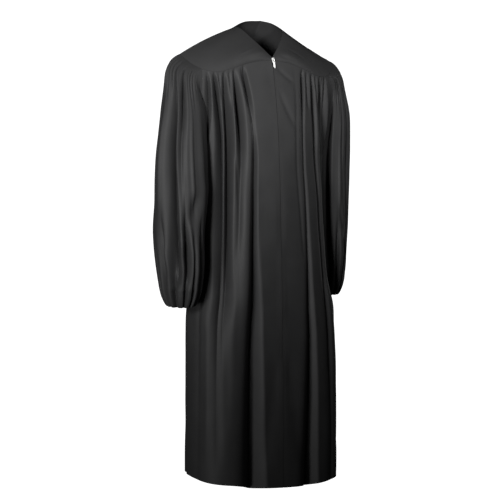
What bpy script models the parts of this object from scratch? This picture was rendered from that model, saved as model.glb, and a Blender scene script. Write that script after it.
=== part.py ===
"""A baptismal robe, filled out as when it is worn and empty: a hollow garment of thin cloth walls.

Metres, +Z up. The front faces -Y and the wearer's right is at -X. The origin lies midway between the two
sides of the neck, at the height where the shoulders carry the robe. Every cloth piece is a grid of points
on its outer face, worked out from the sizes below, with a second grid one wall thickness inside it.
"""
import math
from collections import namedtuple

import bmesh
import bpy
import numpy as np
from mathutils import Matrix, Vector

# Cloth and seams
WALL = 0.0015
SEAM_GAP = 0.0003
SLIT_HALF = 0.0006
MITRE_LIMIT = 1.6
CLOTH_COLOUR = (0.020, 0.020, 0.021)
CLOTH_ROUGHNESS = 0.85
METAL_COLOUR = (0.78, 0.78, 0.77)
METAL_ROUGHNESS = 0.22

# Heights of the driving levels
UNDERARM = -0.360
HEM = -1.278
# How much lower the hem hangs in a fold, as a share of the fold's depth
HEM_SAG = 0.30
# The hem's height from side to side, by x at the hem: it hangs lower on the wearer's left
HemPoint = namedtuple("HemPoint", "x rise")
HEM_LINE = (
    HemPoint(-0.230, 0.035),
    HemPoint(-0.140, 0.023),
    HemPoint(-0.080, 0.010),
    HemPoint(0.000, -0.001),
    HemPoint(0.080, -0.008),
    HemPoint(0.160, -0.009),
    HemPoint(0.230, -0.004),
)

# Torso and skirt: half width, and depth to the front and to the back of the shoulder line.
# Square fills out the corners of the section's front half, as a share of its size.
Section = namedtuple("Section", "height half_width front back square")
BODY = (
    Section(0.020, 0.262, 0.050, 0.060, 0.000),
    Section(-0.100, 0.2520, 0.073, 0.098, 0.000),
    Section(-0.140, 0.2490, 0.079, 0.105, 0.000),
    Section(-0.200, 0.2385, 0.090, 0.115, 0.000),
    Section(-0.280, 0.2205, 0.101, 0.121, 0.000),
    Section(-0.360, 0.2035, 0.108, 0.123, 0.000),
    Section(-0.470, 0.1965, 0.115, 0.123, 0.020),
    Section(-0.600, 0.1965, 0.120, 0.127, 0.040),
    Section(-0.720, 0.2090, 0.124, 0.133, 0.050),
    Section(-0.785, 0.2245, 0.126, 0.138, 0.055),
    Section(-0.860, 0.2250, 0.128, 0.141, 0.068),
    Section(-0.960, 0.2255, 0.130, 0.143, 0.074),
    Section(-1.310, 0.2300, 0.135, 0.149, 0.074),
)

# Neckline: the front from the V to the side of the neck, the back from there to the centre
NeckPoint = namedtuple("NeckPoint", "share x y z")
NECK_FRONT = (
    NeckPoint(0.00, 0.0000, -0.0700, -0.0920),
    NeckPoint(0.33, 0.0250, -0.0555, -0.0640),
    NeckPoint(0.67, 0.0500, -0.0345, -0.0350),
    NeckPoint(0.90, 0.0695, -0.0120, -0.0105),
    NeckPoint(1.00, 0.0755, 0.0000, -0.0050),
)
NECK_BACK = (
    NeckPoint(0.00, 0.0755, 0.0000, -0.0050),
    NeckPoint(0.20, 0.0675, 0.0130, 0.0030),
    NeckPoint(0.50, 0.0450, 0.0270, 0.0145),
    NeckPoint(1.00, 0.0000, 0.0360, 0.0215),
)
# The back of the neckline sits a little towards the wearer's left
NECK_LEAN = 0.024

# Yoke seam across the body, by the turn round the wearer in degrees from the centre
SeamPoint = namedtuple("SeamPoint", "turn height")
FRONT_SEAM = (
    SeamPoint(0.0, -0.099),
    SeamPoint(13.7, -0.107),
    SeamPoint(28.4, -0.125),
    SeamPoint(40.8, -0.137),
    SeamPoint(48.8, -0.135),
)
BACK_SEAM = (
    SeamPoint(0.0, -0.150),
    SeamPoint(20.0, -0.148),
    SeamPoint(40.0, -0.141),
)
FRONT_CORNER_HEIGHT = -0.130
BACK_CORNER_HEIGHT = -0.134

# The yoke's end, from the corner of the armhole up to the tip of the shoulder
SHOULDER_TIP = {"left": (0.244, 0.000, -0.0885), "right": (0.2475, 0.000, -0.088)}
END_BOW = (0.004, 0.003, -0.003)

# How far the yoke swells out between the neckline and its edge
YOKE_SWELL_FRONT = 0.011
YOKE_SWELL_BACK = 0.014
SHOULDER_SWELL = {"left": -0.0060, "right": 0.0055}
YOKE_ROWS = (0.0, 0.25, 0.5, 0.75, 1.0)

# Folds. The turn is in degrees from the centre front, or from the centre back on the back, at the yoke
# seam, at the underarm level and at the hem. Spread is half the mouth of the fold, in degrees. Depths are
# inward, in metres, just below the seam, at the chest, the waist, the thigh and the hem. Shorts counts the
# short gathers between this fold and the next one.
Fold = namedtuple("Fold", "top mid foot spread_mid spread_foot gather chest waist thigh hem shorts")
RIGHT_FRONT_FOLDS = (
    Fold(22.0, 18.5, 23.8, 2.6, 5.0, 0.005, 0.003, 0.004, 0.013, 0.026, 1),
    Fold(28.5, 30.5, 33.0, 4.5, 5.0, 0.004, 0.009, 0.003, 0.002, 0.003, 2),
    Fold(37.0, 45.0, 49.0, 5.5, 8.0, 0.005, 0.008, 0.019, 0.008, 0.004, 1),
    Fold(44.5, 62.0, 66.0, 5.5, 8.0, 0.006, 0.014, 0.016, 0.006, 0.003, 0),
    Fold(50.0, 76.0, 79.0, 5.5, 8.0, 0.005, 0.012, 0.014, 0.006, 0.004, 0),
)
LEFT_FRONT_FOLDS = (
    Fold(23.0, 22.0, 24.0, 2.6, 7.5, 0.005, 0.003, 0.004, 0.014, 0.026, 1),
    Fold(30.5, 40.5, 42.0, 4.5, 6.0, 0.006, 0.012, 0.005, 0.003, 0.004, 1),
    Fold(38.0, 56.0, 57.0, 7.0, 9.0, 0.006, 0.015, 0.019, 0.010, 0.010, 1),
    Fold(45.5, 70.0, 72.0, 5.5, 8.0, 0.005, 0.009, 0.010, 0.006, 0.005, 0),
    Fold(50.0, 80.0, 82.0, 4.5, 7.0, 0.004, 0.006, 0.008, 0.006, 0.005, 0),
)
BACK_FOLDS = (
    Fold(-50.0, -78.0, -80.0, 5.5, 8.0, 0.005, 0.011, 0.012, 0.007, 0.005, 0),
    Fold(-45.0, -64.0, -66.0, 5.5, 8.0, 0.005, 0.010, 0.014, 0.010, 0.009, 1),
    Fold(-35.5, -48.5, -50.0, 6.5, 9.0, 0.005, 0.012, 0.017, 0.016, 0.018, 2),
    Fold(-22.0, -29.0, -32.0, 6.0, 9.0, 0.005, 0.010, 0.014, 0.018, 0.024, 1),
    Fold(-12.5, -15.0, -13.0, 5.0, 8.0, 0.005, 0.008, 0.007, 0.006, 0.010, 1),
    Fold(0.0, -1.5, 2.0, 6.0, 8.5, 0.005, 0.011, 0.013, 0.015, 0.019, 2),
    Fold(10.5, 14.5, 17.0, 5.0, 8.0, 0.005, 0.009, 0.008, 0.007, 0.009, 1),
    Fold(20.0, 29.0, 33.0, 6.0, 9.5, 0.005, 0.012, 0.016, 0.019, 0.026, 2),
    Fold(34.0, 47.0, 49.0, 6.0, 9.0, 0.005, 0.010, 0.012, 0.012, 0.013, 1),
    Fold(44.0, 63.0, 65.0, 6.0, 8.5, 0.006, 0.012, 0.016, 0.010, 0.008, 0),
    Fold(50.0, 78.0, 79.0, 5.0, 8.0, 0.005, 0.009, 0.011, 0.006, 0.005, 0),
)
SHORT_GATHER_DEPTH = 0.0042
SHORT_SPREAD = 3.0
GATHER_SPREAD = 1.9
# Levels at which the folds' spread changes: 0 is the yoke seam, 1 the underarm and 2 the hem
SPREAD_LEVELS = (0.0, 0.25, 1.0, 2.0)
# How strongly a line near the side keeps to the armhole's curve instead of leaning early
EDGE_FOLLOWING = 1.5

# Rows of the fronts and back: shares of the way from the yoke seam to the underarm, then to the hem
CHEST_ROWS = (0.0, 0.045, 0.11, 0.20, 0.32, 0.46, 0.62, 0.80, 1.0)
SKIRT_ROWS = (0.11, 0.24, 0.39, 0.55, 0.72, 0.87, 1.0)
# Levels at which the folds' depths are given, counted in the same way
DEPTH_LEVELS = (0.0, 0.11, 0.70, 1.25, 1.60, 2.0)

# Sleeves: the tube's centre and half sizes at a height. The wearer's right one hangs further forward.
Tube = namedtuple("Tube", "height centre_x centre_y half_width half_depth")
RIGHT_TUBE = (
    Tube(-0.060, 0.2400, -0.004, 0.0360, 0.052),
    Tube(-0.110, 0.2480, -0.006, 0.0400, 0.058),
    Tube(-0.165, 0.2500, -0.008, 0.0420, 0.062),
    Tube(-0.240, 0.2540, -0.011, 0.0480, 0.070),
    Tube(-0.340, 0.2620, -0.016, 0.0560, 0.073),
    Tube(-0.460, 0.2670, -0.026, 0.0615, 0.081),
    Tube(-0.580, 0.2700, -0.035, 0.0650, 0.089),
    Tube(-0.660, 0.2695, -0.040, 0.0610, 0.084),
    Tube(-0.715, 0.2690, -0.043, 0.0550, 0.072),
)
LEFT_TUBE = (
    Tube(-0.060, 0.2360, 0.002, 0.0300, 0.050),
    Tube(-0.110, 0.2450, 0.006, 0.0340, 0.055),
    Tube(-0.165, 0.2470, 0.014, 0.0400, 0.059),
    Tube(-0.240, 0.2570, 0.026, 0.0500, 0.066),
    Tube(-0.340, 0.2610, 0.038, 0.0540, 0.068),
    Tube(-0.460, 0.2620, 0.044, 0.0550, 0.073),
    Tube(-0.580, 0.2630, 0.048, 0.0560, 0.076),
    Tube(-0.670, 0.2640, 0.052, 0.0530, 0.073),
    Tube(-0.729, 0.2660, 0.055, 0.0500, 0.065),
)
# Drop below the armhole's line over which a sleeve leaves that line's shape for the tube's
HEAD_BLEND = 0.015
HEAD_BLEND_DEPTH = 0.080

# The gathered wrist: rings below the tube, as a share of its last section
WristRing = namedtuple("WristRing", "drop scale")
WRIST = (
    WristRing(0.022, 0.905),
    WristRing(0.040, 0.770),
    WristRing(0.049, 0.650),
    WristRing(0.046, 0.575),
)
HEAD_COLUMNS = 16
ARMHOLE_COLUMNS = len(CHEST_ROWS) - 1
AROUND = 2 * (HEAD_COLUMNS + ARMHOLE_COLUMNS)
SLEEVE_ROWS = (0.014, 0.04, 0.09, 0.16, 0.26, 0.38, 0.52, 0.66, 0.80, 0.91, 1.0)
HEAD_GATHER_DEPTH = 0.0045
WRIST_GATHER_DEPTH = 0.0045

# How strongly the gathers show at levels down the sleeve, from its head, 0, to the foot of the tube, 1
Wave = namedtuple("Wave", "level strength")
HEAD_WAVES = (
    Wave(0.00, 0.00),
    Wave(0.05, 1.00),
    Wave(0.12, 0.75),
    Wave(0.24, 0.00),
)
WRIST_WAVES = (
    Wave(0.00, 0.00),
    Wave(0.72, 0.00),
    Wave(0.90, 0.55),
    Wave(1.00, 1.00),
)
SLEEVE_DEPTH_LEVELS = (0.0, 0.07, 0.35, 0.65, 0.90, 1.0)

# Sleeve folds: the place round the sleeve as a share of a whole turn from the outside, by way of the
# front, at the head and at the wrist, then inward depths at the head, the upper arm, the elbow and the
# forearm
SleeveFold = namedtuple("SleeveFold", "head wrist spread depth_head depth_upper depth_elbow depth_forearm")
RIGHT_SLEEVE_FOLDS = (
    SleeveFold(0.075, 0.020, 0.040, 0.003, 0.009, 0.008, 0.003),
    SleeveFold(0.185, 0.200, 0.045, 0.007, 0.005, 0.000, 0.003),
    SleeveFold(0.300, 0.290, 0.040, 0.004, 0.000, 0.003, 0.012),
    SleeveFold(0.100, 0.100, 0.035, 0.000, 0.000, 0.006, 0.010),
    SleeveFold(0.410, 0.390, 0.050, 0.000, 0.004, 0.006, 0.006),
    SleeveFold(0.640, 0.620, 0.050, 0.003, 0.006, 0.009, 0.007),
    SleeveFold(0.780, 0.770, 0.055, 0.005, 0.009, 0.010, 0.009),
    SleeveFold(0.900, 0.895, 0.045, 0.004, 0.007, 0.009, 0.008),
)
LEFT_SLEEVE_FOLDS = (
    SleeveFold(0.060, 0.040, 0.045, 0.003, 0.007, 0.008, 0.004),
    SleeveFold(0.200, 0.170, 0.045, 0.006, 0.010, 0.006, 0.004),
    SleeveFold(0.330, 0.300, 0.045, 0.005, 0.011, 0.010, 0.008),
    SleeveFold(0.440, 0.420, 0.045, 0.000, 0.004, 0.006, 0.006),
    SleeveFold(0.620, 0.640, 0.050, 0.004, 0.008, 0.009, 0.007),
    SleeveFold(0.740, 0.760, 0.050, 0.005, 0.008, 0.011, 0.009),
    SleeveFold(0.870, 0.880, 0.050, 0.004, 0.008, 0.008, 0.007),
)

# Zip tapes: they end above the hem, and at the top a short end slants in behind the yoke
TAPE_WIDTH = 0.014
TAPE_THICK = 0.001
TAPE_FOOT_RAISE = 0.012
TAPE_END = 0.0035
TAPE_END_TURN = 0.0024

# Zip slider, its bail, and the pull tab
SLIDER_HEIGHT = -0.0985
SLIDER_LENGTH = 0.0115
SLIDER_TOP_WIDTH = 0.0084
SLIDER_FOOT_WIDTH = 0.0066
SLIDER_THICK = 0.0026
SLIDER_CHAMFER = 0.0016
SLIDER_EDGE = 0.0004
SLIDER_LEAN = math.radians(6.0)
SLIDER_SEAT_REACH = 0.01
BAIL_LENGTH = 0.0076
BAIL_WIDTH = 0.0024
BAIL_RISE = 0.0030
BAIL_THICK = 0.0009
BAIL_SUNK = 0.0005
PULL_LENGTH = 0.0240
PULL_TOP_WIDTH = 0.0066
PULL_FOOT_WIDTH = 0.0048
PULL_THICK = 0.0010
PULL_CORNER = 0.0009
PULL_EDGE = 0.0002
PULL_EYE_WIDTH = 0.0044
PULL_EYE_LENGTH = 0.0054
PULL_HOLE_RADIUS = 0.0011
HINGE_RISE = 0.00095
HINGE_DROP = 0.0012
ARC_STEPS = 12
CORNER_STEPS = 3
SHARP_ANGLE = math.radians(35)
EDGE_ANGLE = math.radians(50)


def through(knots, values, at):
    """A smooth curve through the values at the knots: cubic pieces that share their slopes."""
    knots = np.asarray(knots, float)
    values = np.asarray(values, float)
    at = np.clip(np.asarray(at, float), knots[0], knots[-1])
    slopes = np.gradient(values, knots)
    piece = np.clip(np.searchsorted(knots, at) - 1, 0, len(knots) - 2)
    step = knots[piece + 1] - knots[piece]
    t = (at - knots[piece]) / step
    rise = 3 * t**2 - 2 * t**3
    start = (t**3 - 2 * t**2 + t) * step * slopes[piece]
    end = (t**3 - t**2) * step * slopes[piece + 1]
    return (1 - rise) * values[piece] + rise * values[piece + 1] + start + end


def read(rows, column, height):
    """One named column of a table of heights, which run downwards, read at a height."""
    heights = [row.height for row in reversed(rows)]
    values = [getattr(row, column) for row in reversed(rows)]
    return through(heights, values, height)


def unit(vectors):
    return vectors / np.linalg.norm(vectors, axis=-1, keepdims=True)


def body(turn, height):
    """Points and outward normals of the torso and skirt, at a turn in radians from the centre front."""
    turn, height = np.broadcast_arrays(np.asarray(turn, float), np.asarray(height, float))
    square = read(BODY, "square", height) * (np.cos(turn) > 0)
    width = read(BODY, "half_width", height) / (1 - square)
    front = read(BODY, "front", height) / (1 - square)
    back = read(BODY, "back", height) / (1 - square)
    depth = np.where(np.cos(turn) > 0, front, back)
    x = width * (np.sin(turn) + square * np.sin(3 * turn))
    y = -depth * (np.cos(turn) - square * np.cos(3 * turn))
    along_x = width * (np.cos(turn) + 3 * square * np.cos(3 * turn))
    along_y = depth * (np.sin(turn) - 3 * square * np.sin(3 * turn))
    normals = unit(np.stack([along_y, -along_x, np.zeros_like(x)], -1))
    return np.stack([x, y, height], -1), normals


def armhole_turn(height):
    """Turn from the centre at which the body crosses the armhole's upright plane."""
    armhole_x = read(BODY, "half_width", UNDERARM)
    return np.arcsin(np.clip(armhole_x / read(BODY, "half_width", height), -1, 1))


def seam_height(turn, is_back):
    """Height of the yoke seam at a turn from the centre, in radians."""
    rows = BACK_SEAM if is_back else FRONT_SEAM
    corner = BACK_CORNER_HEIGHT if is_back else FRONT_CORNER_HEIGHT
    turns = [math.radians(row.turn) for row in rows] + [corner_turn(is_back)]
    heights = [row.height for row in rows] + [corner]
    return through(turns, heights, np.abs(turn))


def corner_turn(is_back):
    corner = BACK_CORNER_HEIGHT if is_back else FRONT_CORNER_HEIGHT
    return float(armhole_turn(corner))


def with_shorts(folds):
    """The long folds, with the short gathers that lie between them."""
    every = []
    for fold, following in zip(folds, folds[1:] + (None,)):
        every.append(fold)
        for number in range(fold.shorts):
            share = (number + 1) / (fold.shorts + 1)
            top = fold.top + (following.top - fold.top) * share
            mid = fold.mid + (following.mid - fold.mid) * share
            foot = fold.foot + (following.foot - fold.foot) * share
            depths = (SHORT_GATHER_DEPTH, 0, 0, 0, 0)
            every.append(Fold(top, mid, foot, SHORT_SPREAD, SHORT_SPREAD, *depths, 0))
    return every


def column_turn(top, mid, foot, level, is_back):
    """Turn of a line down the panel. Lines near the side follow the armhole, and the others lean early."""
    corner = BACK_CORNER_HEIGHT if is_back else FRONT_CORNER_HEIGHT
    edge_top = math.degrees(corner_turn(is_back))
    level = np.asarray(level, float)
    chest = np.clip(level, 0, 1)
    skirt = np.clip(level - 1, 0, 1)
    edge = np.degrees(armhole_turn(corner + (UNDERARM - corner) * chest))
    edge_blend = (edge - edge_top) / (90.0 - edge_top)
    early_blend = 1 - (1 - chest) ** 2
    nearness = (np.abs(mid) / 90.0) ** EDGE_FOLLOWING
    blend = early_blend + (edge_blend - early_blend) * nearness
    skirt_blend = skirt**2 * (3 - 2 * skirt)
    return np.where(level <= 1, top + (mid - top) * blend, mid + (foot - mid) * skirt_blend)


def fold_depth(folds, turn, level, is_back):
    """Inward depth of all the folds at a turn in degrees: a soft bell across each fold's mouth."""
    total = np.zeros(np.broadcast(turn, level).shape)
    for fold in folds:
        place = column_turn(fold.top, fold.mid, fold.foot, level, is_back)
        halfway = (GATHER_SPREAD + fold.spread_mid) / 2
        spread = through(SPREAD_LEVELS, (GATHER_SPREAD, halfway, fold.spread_mid, fold.spread_foot), level)
        depths = (0, fold.gather, fold.chest, fold.waist, fold.thigh, fold.hem)
        depth = np.maximum(through(DEPTH_LEVELS, depths, level), 0)
        offset = np.clip((turn - place) / spread, -1, 1)
        total = total + depth * (1 - offset**2) ** 2
    return total


def panel_heights(turn_at_top, level, is_back, x_at_hem, depth):
    """Height of a row: it follows the yoke seam at the top, is level at the underarm, and meets the hem."""
    top = seam_height(turn_at_top, is_back)
    chest = np.clip(level, 0, 1)
    skirt = np.clip(level - 1, 0, 1)
    rise = through(*zip(*HEM_LINE), x_at_hem)
    foot = HEM + rise - HEM_SAG * depth
    return top + (UNDERARM - top) * chest + (foot - UNDERARM) * skirt


def panel_points(tops, mids, feet, levels, folds, is_back, side):
    """The fronts' or back's outer face: lines down the panel by levels, with the folds pressed in."""
    level = np.asarray(levels, float)[:, None]
    turns = np.stack([column_turn(*line, levels, is_back) for line in zip(tops, mids, feet)], -1)
    depth = fold_depth(folds, turns, level, is_back)
    around = np.radians(180.0 - turns) if is_back else np.radians(turns)
    foot_points, _ = body(np.radians(180.0 - np.asarray(feet)) if is_back else np.radians(feet), HEM)
    x_at_hem = foot_points[:, 0] * (-1 if side == "right" else 1)
    heights = panel_heights(np.radians(tops), level, is_back, x_at_hem, depth)
    points, normals = body(around, heights)
    return points - normals * depth[..., None], normals


def panel_lines(folds, start, end):
    """Lines down a panel: one in each fold and one on each ridge between, from edge to edge."""
    lines = [start]
    if start[0] == 0.0:
        first = folds[0]
        ridge = np.array((first.top - GATHER_SPREAD, first.mid - first.spread_mid,
                          first.foot - first.spread_foot))
        lines.extend([tuple(ridge / 3), tuple(ridge * 2 / 3), tuple(ridge)])
    else:
        lines.append(tuple((a + b) / 2 for a, b in zip(start, folds[0][:3])))
    for fold, following in zip(folds, folds[1:]):
        lines.append(fold[:3])
        lines.append(tuple((a + b) / 2 for a, b in zip(fold[:3], following[:3])))
    lines.append(folds[-1][:3])
    lines.append(tuple((a + b) / 2 for a, b in zip(folds[-1][:3], end)))
    lines.append(end)
    return [np.array(column) for column in zip(*lines)]


def grid_normals(points, closed_around=False):
    """Outward normals of a grid, rows down and columns anticlockwise, and how far a wall is mitred."""
    if closed_around:
        points = np.concatenate([points, points[:, :1]], 1)
    diagonal = points[1:, 1:] - points[:-1, :-1]
    other = points[1:, :-1] - points[:-1, 1:]
    faces = unit(np.cross(other, diagonal))
    rows, columns = points.shape[:2]
    here = slice(0, -1)
    after = slice(1, None)
    corners = ((here, here), (after, here), (here, after), (after, after))
    total = np.zeros((rows, columns, 3))
    for corner in corners:
        total[corner] += faces
    if closed_around:
        total[:, 0] += total[:, -1]
        total[:, -1] = total[:, 0]
    normals = unit(total)
    slack = np.zeros((rows, columns))
    count = np.zeros((rows, columns))
    for corner in corners:
        slack[corner] += np.sum(faces * normals[corner], -1)
        count[corner] += 1
    if closed_around:
        slack[:, 0] += slack[:, -1]
        count[:, 0] += count[:, -1]
        return normals[:, :-1], np.clip(count / slack, 1, MITRE_LIMIT)[:, :-1]
    return normals, np.clip(count / slack, 1, MITRE_LIMIT)


def along_table(rows, shares):
    """Points of a curve whose table gives x, y and z at shares of its length."""
    knots = [row.share for row in rows]
    return np.stack([through(knots, [getattr(row, axis) for row in rows], shares) for axis in "xyz"], -1)


def yoke_end(corner, is_back, side):
    """The yoke's end: from the corner of the armhole up to the tip of the shoulder, slightly bowed."""
    share = np.linspace(0, 1, HEAD_COLUMNS // 2 + 1)[1:, None]
    bow = np.array(END_BOW) * np.array((1, 1 if is_back else -1, 1))
    return corner + (np.array(SHOULDER_TIP[side]) - corner) * share + bow * (4 * share * (1 - share))


def yoke_side(turns_at_top, is_back, side):
    """One side of a yoke, from the centre to the tip of the shoulder and from the neckline to its edge."""
    turns = np.radians(turns_at_top)
    across, _ = body(math.pi - turns if is_back else turns, seam_height(turns, is_back))
    edge = np.concatenate([across, yoke_end(across[-1], is_back, side)])
    steps = np.linalg.norm(np.diff(edge, axis=0), axis=1)
    shares = np.concatenate([[0], np.cumsum(steps)]) / steps.sum()
    neck = along_table(NECK_BACK, 1 - shares) if is_back else along_table(NECK_FRONT, shares)
    if is_back:
        neck[:, 0] += NECK_LEAN * (1 - shares) * (1 if side == "left" else -1)
    down = np.asarray(YOKE_ROWS, float)[:, None, None]
    chord = unit(edge - neck)
    outward = unit(np.cross(chord, np.gradient(edge, axis=0)))
    shoulder = SHOULDER_SWELL[side]
    if is_back:
        outward = -outward
        swell = shoulder + (YOKE_SWELL_BACK - shoulder) * np.cos(shares * math.pi / 2)
    else:
        swell = shoulder * shares**2 + YOKE_SWELL_FRONT * np.sin(math.pi * shares)
    outward[-1] = unit(np.cross(chord[-1], (0.0, 1.0, 0.0)))
    return neck * (1 - down) + edge * down + outward * (swell[:, None] * 4 * down * (1 - down))


def mirrored(points):
    """The same points on the wearer's other side."""
    return points * np.array((-1.0, 1.0, 1.0))


def filled_in(line):
    """A line of points with one more point midway between each two."""
    full = np.empty((2 * len(line) - 1, 3))
    full[0::2] = line
    full[1::2] = (line[:-1] + line[1:]) / 2
    return full


def below_seam(edge, normals):
    """Direction in the cloth that leads away from a yoke, at each point of its edge."""
    return unit(np.cross(np.gradient(edge, axis=0), normals))


def panel(folds, start, end, is_back, side, seam, seam_normals):
    """A front or the back: its outer points and normals, hung from the yoke's seam."""
    tops, mids, feet = panel_lines(folds, start, end)
    levels = np.concatenate([CHEST_ROWS, 1 + np.asarray(SKIRT_ROWS)])
    points, base = panel_points(tops, mids, feet, levels, folds, is_back, side)
    if is_back:
        points = points[:, ::-1]
        base = base[:, ::-1]
    top_normals = filled_in(seam_normals)
    points[0] = filled_in(seam) + SEAM_GAP * filled_in(below_seam(seam, seam_normals))
    normals, mitre = grid_normals(points)
    normals[0] = top_normals
    mitre[0] = 1
    for column in (0, -1):
        normals[1:, column] = base[1:, column]
        mitre[:, column] = 1
    return points, normals, mitre


def sleeve_depth(folds, place, level):
    """Inward depth of a sleeve's folds, at a place round it and a level from head, 0, to wrist, 1."""
    total = np.zeros(np.broadcast(place, level).shape)
    for fold in folds:
        depths = (0, fold.depth_head, fold.depth_upper, fold.depth_elbow, fold.depth_forearm, 0)
        depth = np.maximum(through(SLEEVE_DEPTH_LEVELS, depths, level), 0)
        centre = fold.head + (fold.wrist - fold.head) * level
        offset = (place - centre + 0.5) % 1 - 0.5
        total = total + depth * (1 - np.clip(offset / fold.spread, -1, 1) ** 2) ** 2
    return total


def gather_waves(level, place):
    """Depth of the gathers at every second line, on the head where it meets the yoke and at the wrist."""
    from_tip = np.abs((place + 0.5) % 1 - 0.5)
    by_yoke = from_tip < HEAD_COLUMNS / AROUND
    at_head = through(*zip(*HEAD_WAVES), level)
    at_wrist = through(*zip(*WRIST_WAVES), level)
    return HEAD_GATHER_DEPTH * at_head * by_yoke + WRIST_GATHER_DEPTH * at_wrist


def sleeve(armhole, tube, folds):
    """A sleeve's outer points: rings from the armhole's line to the tube's foot, then the wrist's rings.

    The lines run from the tip of the shoulder round by the front.
    """
    place = np.arange(AROUND) / AROUND
    angle = 2 * math.pi * place
    level = np.concatenate([[0.0], SLEEVE_ROWS])[:, None]
    foot = tube[-1].height
    height = armhole[:, 2] + (foot - armhole[:, 2]) * level
    drop = armhole[:, 2] - height
    blend_across = 1 - np.exp(-drop / HEAD_BLEND)
    blend_depth = 1 - np.exp(-drop / HEAD_BLEND_DEPTH)
    wave = (np.arange(AROUND) % 2) * gather_waves(level, place)
    inward = sleeve_depth(folds, place, level) + wave
    half_width = read(tube, "half_width", height) - inward
    half_depth = read(tube, "half_depth", height) - inward
    ring_x = read(tube, "centre_x", height) + half_width * np.cos(angle)
    ring_y = read(tube, "centre_y", height) - half_depth * np.sin(angle)
    x = armhole[:, 0] + (ring_x - armhole[:, 0]) * blend_across
    y = armhole[:, 1] + (ring_y - armhole[:, 1]) * blend_depth
    rings = [np.stack([x, y, height], -1)]
    last = tube[-1]
    for ring in WRIST:
        waved = 1 - (np.arange(AROUND) % 2) * WRIST_GATHER_DEPTH / last.half_width
        around_x = last.centre_x + last.half_width * ring.scale * waved * np.cos(angle)
        around_y = last.centre_y - last.half_depth * ring.scale * waved * np.sin(angle)
        rings.append(np.stack([around_x, around_y, np.full(AROUND, foot - ring.drop)], -1)[None])
    return np.concatenate(rings)


def armhole_line(front_end, front_side, back_side, back_end):
    """The sleeve's top line: shoulder tip, front corner, underarm, back corner and back to the tip."""
    front_head = filled_in(front_end[::-1])
    back_head = filled_in(back_end)
    return np.concatenate([front_head[:-1], front_side[:-1], back_side[::-1][:-1], back_head[:-1]])


def material(name, colour, roughness, metallic):
    made = bpy.data.materials.new(name)
    made.use_nodes = True
    shader = made.node_tree.nodes["Principled BSDF"]
    shader.inputs["Base Color"].default_value = (*colour, 1.0)
    shader.inputs["Roughness"].default_value = roughness
    shader.inputs["Metallic"].default_value = metallic
    return made


def add_mesh(name, vertices, faces, finish):
    mesh = bpy.data.meshes.new(name)
    mesh.from_pydata(vertices, [], faces)
    mesh.shade_smooth()
    mesh.materials.append(finish)
    made = bpy.data.objects.new(name, mesh)
    bpy.context.collection.objects.link(made)
    return made


def cloth_wall(name, outer, normals, mitre, thick=WALL, closed_around=False):
    """A closed wall between a grid of outer points and the same grid one thickness inside."""
    inner = outer - normals * (thick * mitre[..., None])
    rows, columns = outer.shape[:2]
    number = np.arange(rows * columns).reshape(rows, columns)
    under = number + rows * columns
    if closed_around:
        number = np.concatenate([number, number[:, :1]], 1)
        under = np.concatenate([under, under[:, :1]], 1)

    def strip(first, second):
        return np.stack([first[:-1], second[:-1], second[1:], first[1:]], -1).reshape(-1, 4)

    faces = [
        np.stack([number[:-1, :-1], number[1:, :-1], number[1:, 1:], number[:-1, 1:]], -1).reshape(-1, 4),
        np.stack([under[:-1, :-1], under[:-1, 1:], under[1:, 1:], under[1:, :-1]], -1).reshape(-1, 4),
        strip(under[0], number[0]),
        strip(number[-1], under[-1]),
    ]
    if not closed_around:
        faces.append(strip(number[:, 0], under[:, 0]))
        faces.append(strip(under[:, -1], number[:, -1]))
    vertices = np.concatenate([outer.reshape(-1, 3), inner.reshape(-1, 3)])
    finish = material(name + " cloth", CLOTH_COLOUR, CLOTH_ROUGHNESS, 0.0)
    return add_mesh(name, vertices.tolist(), np.concatenate(faces).tolist(), finish)


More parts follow.
